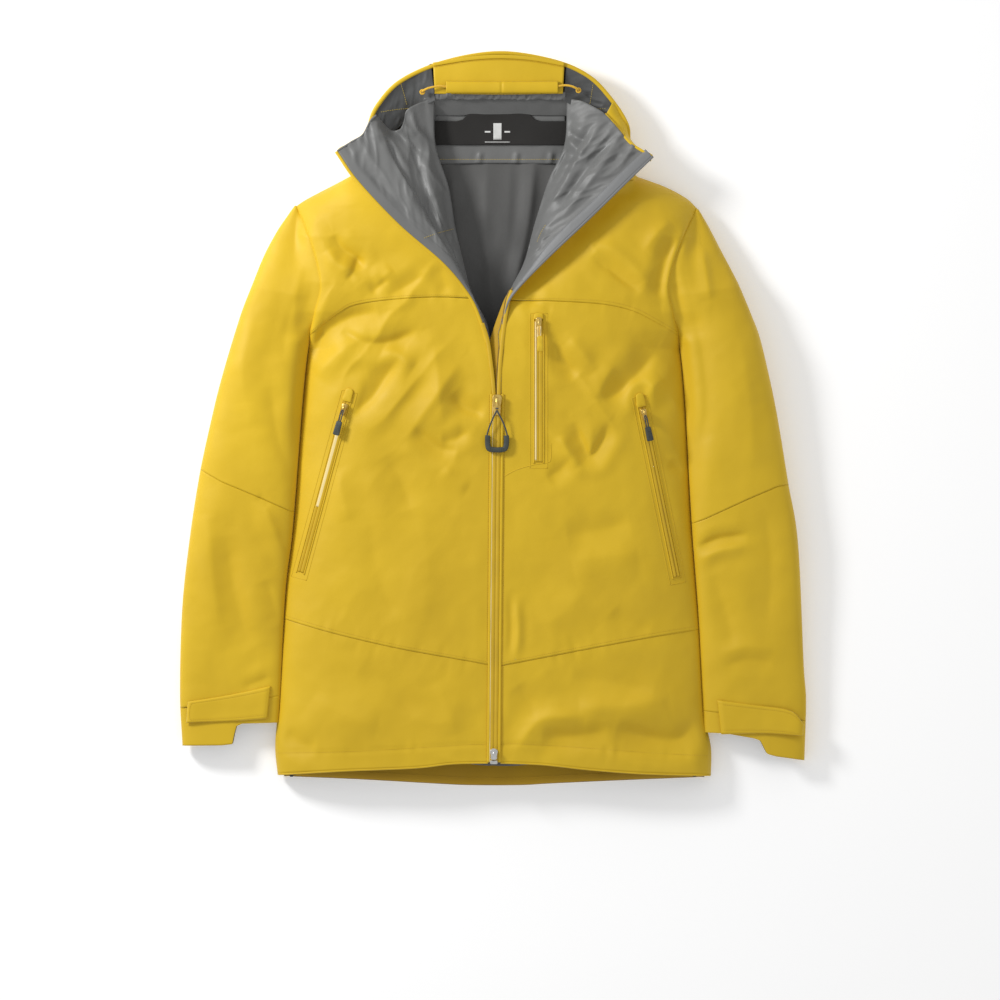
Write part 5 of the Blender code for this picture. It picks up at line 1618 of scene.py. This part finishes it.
def ring_top(grid, x, y):
    """Height of the top of a ring surface at points in plan."""
    near = (grid[..., 0][..., None] - np.ravel(x)) ** 2 + (grid[..., 1][..., None] - np.ravel(y)) ** 2
    near = near.reshape(-1, near.shape[-1])
    heights = grid[..., 2].ravel()[:, None]
    weight = np.exp(-near / 30.0) * (heights > 12)
    return ((weight * heights).sum(axis=0) / np.maximum(weight.sum(axis=0), 1e-9)).reshape(np.shape(x))


TAB = {
    "right": ([(-275, -365), (-318, -368), (-374, -370)],
              [(-271, -325), (-312, -334), (-346, -340), (-372, -344)]),
    "left": ([(278, -384), (330, -383), (378, -386)], [(273, -342), (318, -348), (362, -355), (379, -372)]),
}
for side, sign in SIGN.items():
    band, lower = CUFF_GRID[side], LOWER_GRID[side]
    surface = np.concatenate([lower[-40:], band])
    low, high = TAB[side]
    grid = ruled_patch(low, high, 60, 26)
    x, y = grid[..., 0], grid[..., 1]
    share = np.linspace(0, 1, 60)[None] + 0 * x
    cross = np.linspace(0, 1, 26)[:, None] + 0 * x
    base = ring_top(surface, x, y)
    flat = 0.35 * base + 0.65 * (base.max() - 0.6)
    lift = 2.8 + 1.6 * ease(share, 0.5, 1.0)
    end = np.minimum(1, np.sqrt(np.clip(np.minimum(cross, 1 - cross) * 16, 0.0, 1)))
    tip = np.sqrt(np.clip((1 - share) * 26, 0, 1))
    z = flat + lift * (0.55 + 0.45 * np.minimum(end, tip)) + 0.25 * noise(x, y, 15, 151)
    z -= 1.6 * np.exp(-((share / 0.03) ** 2))
    groove = np.minimum.reduce([cross * 40, (1 - cross) * 40, (1 - share) * 100])
    z -= 0.35 * np.exp(-(((groove - 4.5) / 0.9) ** 2))
    grid = np.stack([x, y, z], axis=-1)
    tab_cloth = cloth(side + "_cuff_tab_cloth", grid, "shell", "hook", flip=side == "right", thick=1.3)
    place(tab_cloth, side + "_tab", "shell_yellow", [side + "_cuff_tab"])
    # the folded root that joins the tab's sewn end to the cuff
    sewn = grid[:, 2]
    foot = ring_top(surface, sewn[:, 0], sewn[:, 1]) - 2.0
    rows = []
    for share in np.linspace(0, 1, 6):
        row = sewn.copy()
        row[:, 0] -= sign * 1.2 * math.sin(math.pi * share)
        row[:, 2] += (foot - sewn[:, 2] + 0.9) * share - 0.9
        rows.append(row)
    place(cloth(side + "_cuff_tab_root", np.stack(rows, axis=1), "shell", "shell", flip=side == "left"),
          side + "_sleeve", "shell_yellow")
    at = lambda u, v: grid[int(round(v * 25)), int(round(u * 59))]
    line = np.array([at(u, v) for u, v in
                     [(u, 0.11) for u in np.linspace(0.03, 0.955, 30)] + [(0.96, v) for v in (0.3, 0.5, 0.7)]
                     + [(u, 0.89) for u in np.linspace(0.955, 0.03, 30)]])
    place(stitches(side + "_cuff_tab_stitch", line + (0, 0, 0.12), "thread", 2.6, 1.9, 0.36), side + "_tab",
          "shell_yellow")
    # hook-and-loop patch at the far end
    px, py = sign * 357, -355 if side == "right" else -372
    low = [(px - 9, py - 10), (px + 9, py - 10)]
    high = [(px - 9, py + 10), (px + 9, py + 10)]
    patch_grid = ruled_patch(low, high, 16, 16)
    x, y = patch_grid[..., 0], patch_grid[..., 1]
    patch_grid = np.stack([x, y, ring_top(surface, x, y) + 1.6], axis=-1)
    place(cloth(side + "_cuff_hooks", patch_grid, "hook", "shell", thick=1.0), side + "_sleeve",
          "hook_orange", [side + "_cuff_hook_patch"])


def on_surface(points, lift=0.9, step=1.5):
    path = smooth([p[:2] for p in points], step=step)
    return np.column_stack([path, front_z(path[:, 0], path[:, 1]) + lift])


# stitching on the front
for side, sign in SIGN.items():
    line = on_surface(HEM_STITCH[side], 0.12)
    place(stitches(side + "_hem_stitch", line, "thread", 2.8, 2.0, 0.4), slot="shell_yellow")
    for name, seam, lift in (("yoke", YOKE_SEAM[side], 1.3), ("lower", LOWER_SEAM[side], 0.68)):
        line = on_surface([(x, y + 2.6) for x, y in seam], lift)
        place(stitches(f"{side}_{name}_seam_stitch", line, "thread", 2.6, 1.9, 0.3, 0.05),
              slot="shell_yellow")
    hem_roll = on_surface(HEM[side], -0.6, 2.0)
    place(strip(side + "_hem_roll", hem_roll, round_profile(2.4, 2.2, 10), "shell"), slot="shell_yellow")

# inside face of the back's hem, seen below the front; its darker yellow is painted shadow cast by the front's
# hem
hem = smooth(BACK_HEM, 200)
width = np.linspace(0, 1, 200)
rows = []
for share in np.linspace(0, 1, 16):
    y = hem[:, 1] + 0.4 + share * 34
    z = 1.2 + 1.9 * np.sin(math.pi * min(1, share * 5) / 2) + 0.5 * noise(hem[:, 0], y, 24, 161)
    z += 4.6 * np.exp(-((1 - np.abs(np.linspace(-1, 1, 200))) / 0.02))
    rows.append(np.column_stack([hem[:, 0], y, z]))
facing = np.array(rows)
place(cloth("back_hem_facing", facing, "facing", "facing"), slot="shell_yellow")
line = facing[4] + (0, 0, 0.2)
place(stitches("back_hem_stitch", line[4:-4], "thread", 2.8, 2.0, 0.4), slot="shell_yellow")

# the grey inside of the front, seen as a sliver under its hem beside the zip, in the hood's darker grey as
# painted shade
x = np.linspace(-33, 47, 60)
share = np.linspace(0, 1, 5)[:, None]
front_hem = np.interp(x, [-50, -6, 1, 9, 60], [-419, -418, -417.5, -418, -420])
low = front_hem - 4.2 * np.sin(math.pi * np.linspace(0, 1, 60)) ** 0.7
X, Y = x[None] + 0 * share, low[None] + (front_hem + 2 - low)[None] * share
place(cloth("front_hem_inside_painted_shade", np.stack([X, Y, 36 + 3 * share + 0 * X], axis=-1), "hood_dark", "hood_dark"),
      slot="backer_grey")

# the locks of the hem's drawcord, each with its push button
for side, sign in SIGN.items():
    parts = [blob("lock", rounded_outline(13.0, 7.0, 2.4), -2.5, 2.5, "black", 0.7, 0.3),
             blob("button", rounded_outline(4.6, 3.0, 1.2, (0, -4.0)), -1.5, 1.5, "black", 0.4, 0.2),
             blob("rib", rounded_outline(1.0, 4.6, 0.4, (-3.0, 0)), 2.3, 3.1, "black", 0.2),
             blob("rib", rounded_outline(1.0, 4.6, 0.4, (3.0, 0)), 2.3, 3.1, "black", 0.2)]
    obj = seat(joined(side + "_cord_lock", parts), frame_at((sign * 246, -431, 9), (0, -1, 0), (0, 0, 1)))
    place(obj, slot="moulded_black", nodes=[side + "_hem_cord_lock"])

# the stitched line across the neck, and the tucks in it
line = np.column_stack([np.linspace(-68, 84, 80), np.full(80, 317.5), np.full(80, 9.6)])
place(stitches("neck_stitch", line, "thread_gold", 3.0, 2.1, 0.5), slot="shell_yellow")

# ---------------------------------------------------------------- floor, light and camera

corners = [(x * FLOOR_REACH, y * FLOOR_REACH, 0) for x, y in ((-1, -1), (1, -1), (1, 1), (-1, 1))]
floor = mesh_piece("floor", corners, [(0, 1, 2, 3)], ["floor"])

world = bpy.data.worlds.new("studio")
world.use_nodes = True
world.node_tree.nodes["Background"].inputs["Color"].default_value = (1, 1, 1, 1)
world.node_tree.nodes["Background"].inputs["Strength"].default_value = 0.635
bpy.context.scene.world = world


def area_light(name, energy, where, aim, size):
    data = bpy.data.lights.new(name, "AREA")
    data.energy = energy
    data.shape = "DISK"
    data.size = size
    obj = bpy.data.objects.new(name, data)
    obj.location = where
    obj.rotation_euler = (Vector(aim) - Vector(where)).to_track_quat("-Z", "Y").to_euler()
    bpy.context.scene.collection.objects.link(obj)


area_light("key", 27.5, (-1.40, 0.90, 1.05), (-0.05, 0.0, 0.0), 0.45)

camera_data = bpy.data.cameras.new("camera")
camera_data.lens = 250
camera_data.sensor_width = 36
camera_data.clip_end = 20
camera = bpy.data.objects.new("camera", camera_data)
camera.location = (0.0085, -0.0985, 8.49)
bpy.context.scene.collection.objects.link(camera)
bpy.context.scene.camera = camera
bpy.context.scene.view_settings.view_transform = "Standard"
bpy.context.scene.view_settings.look = "None"
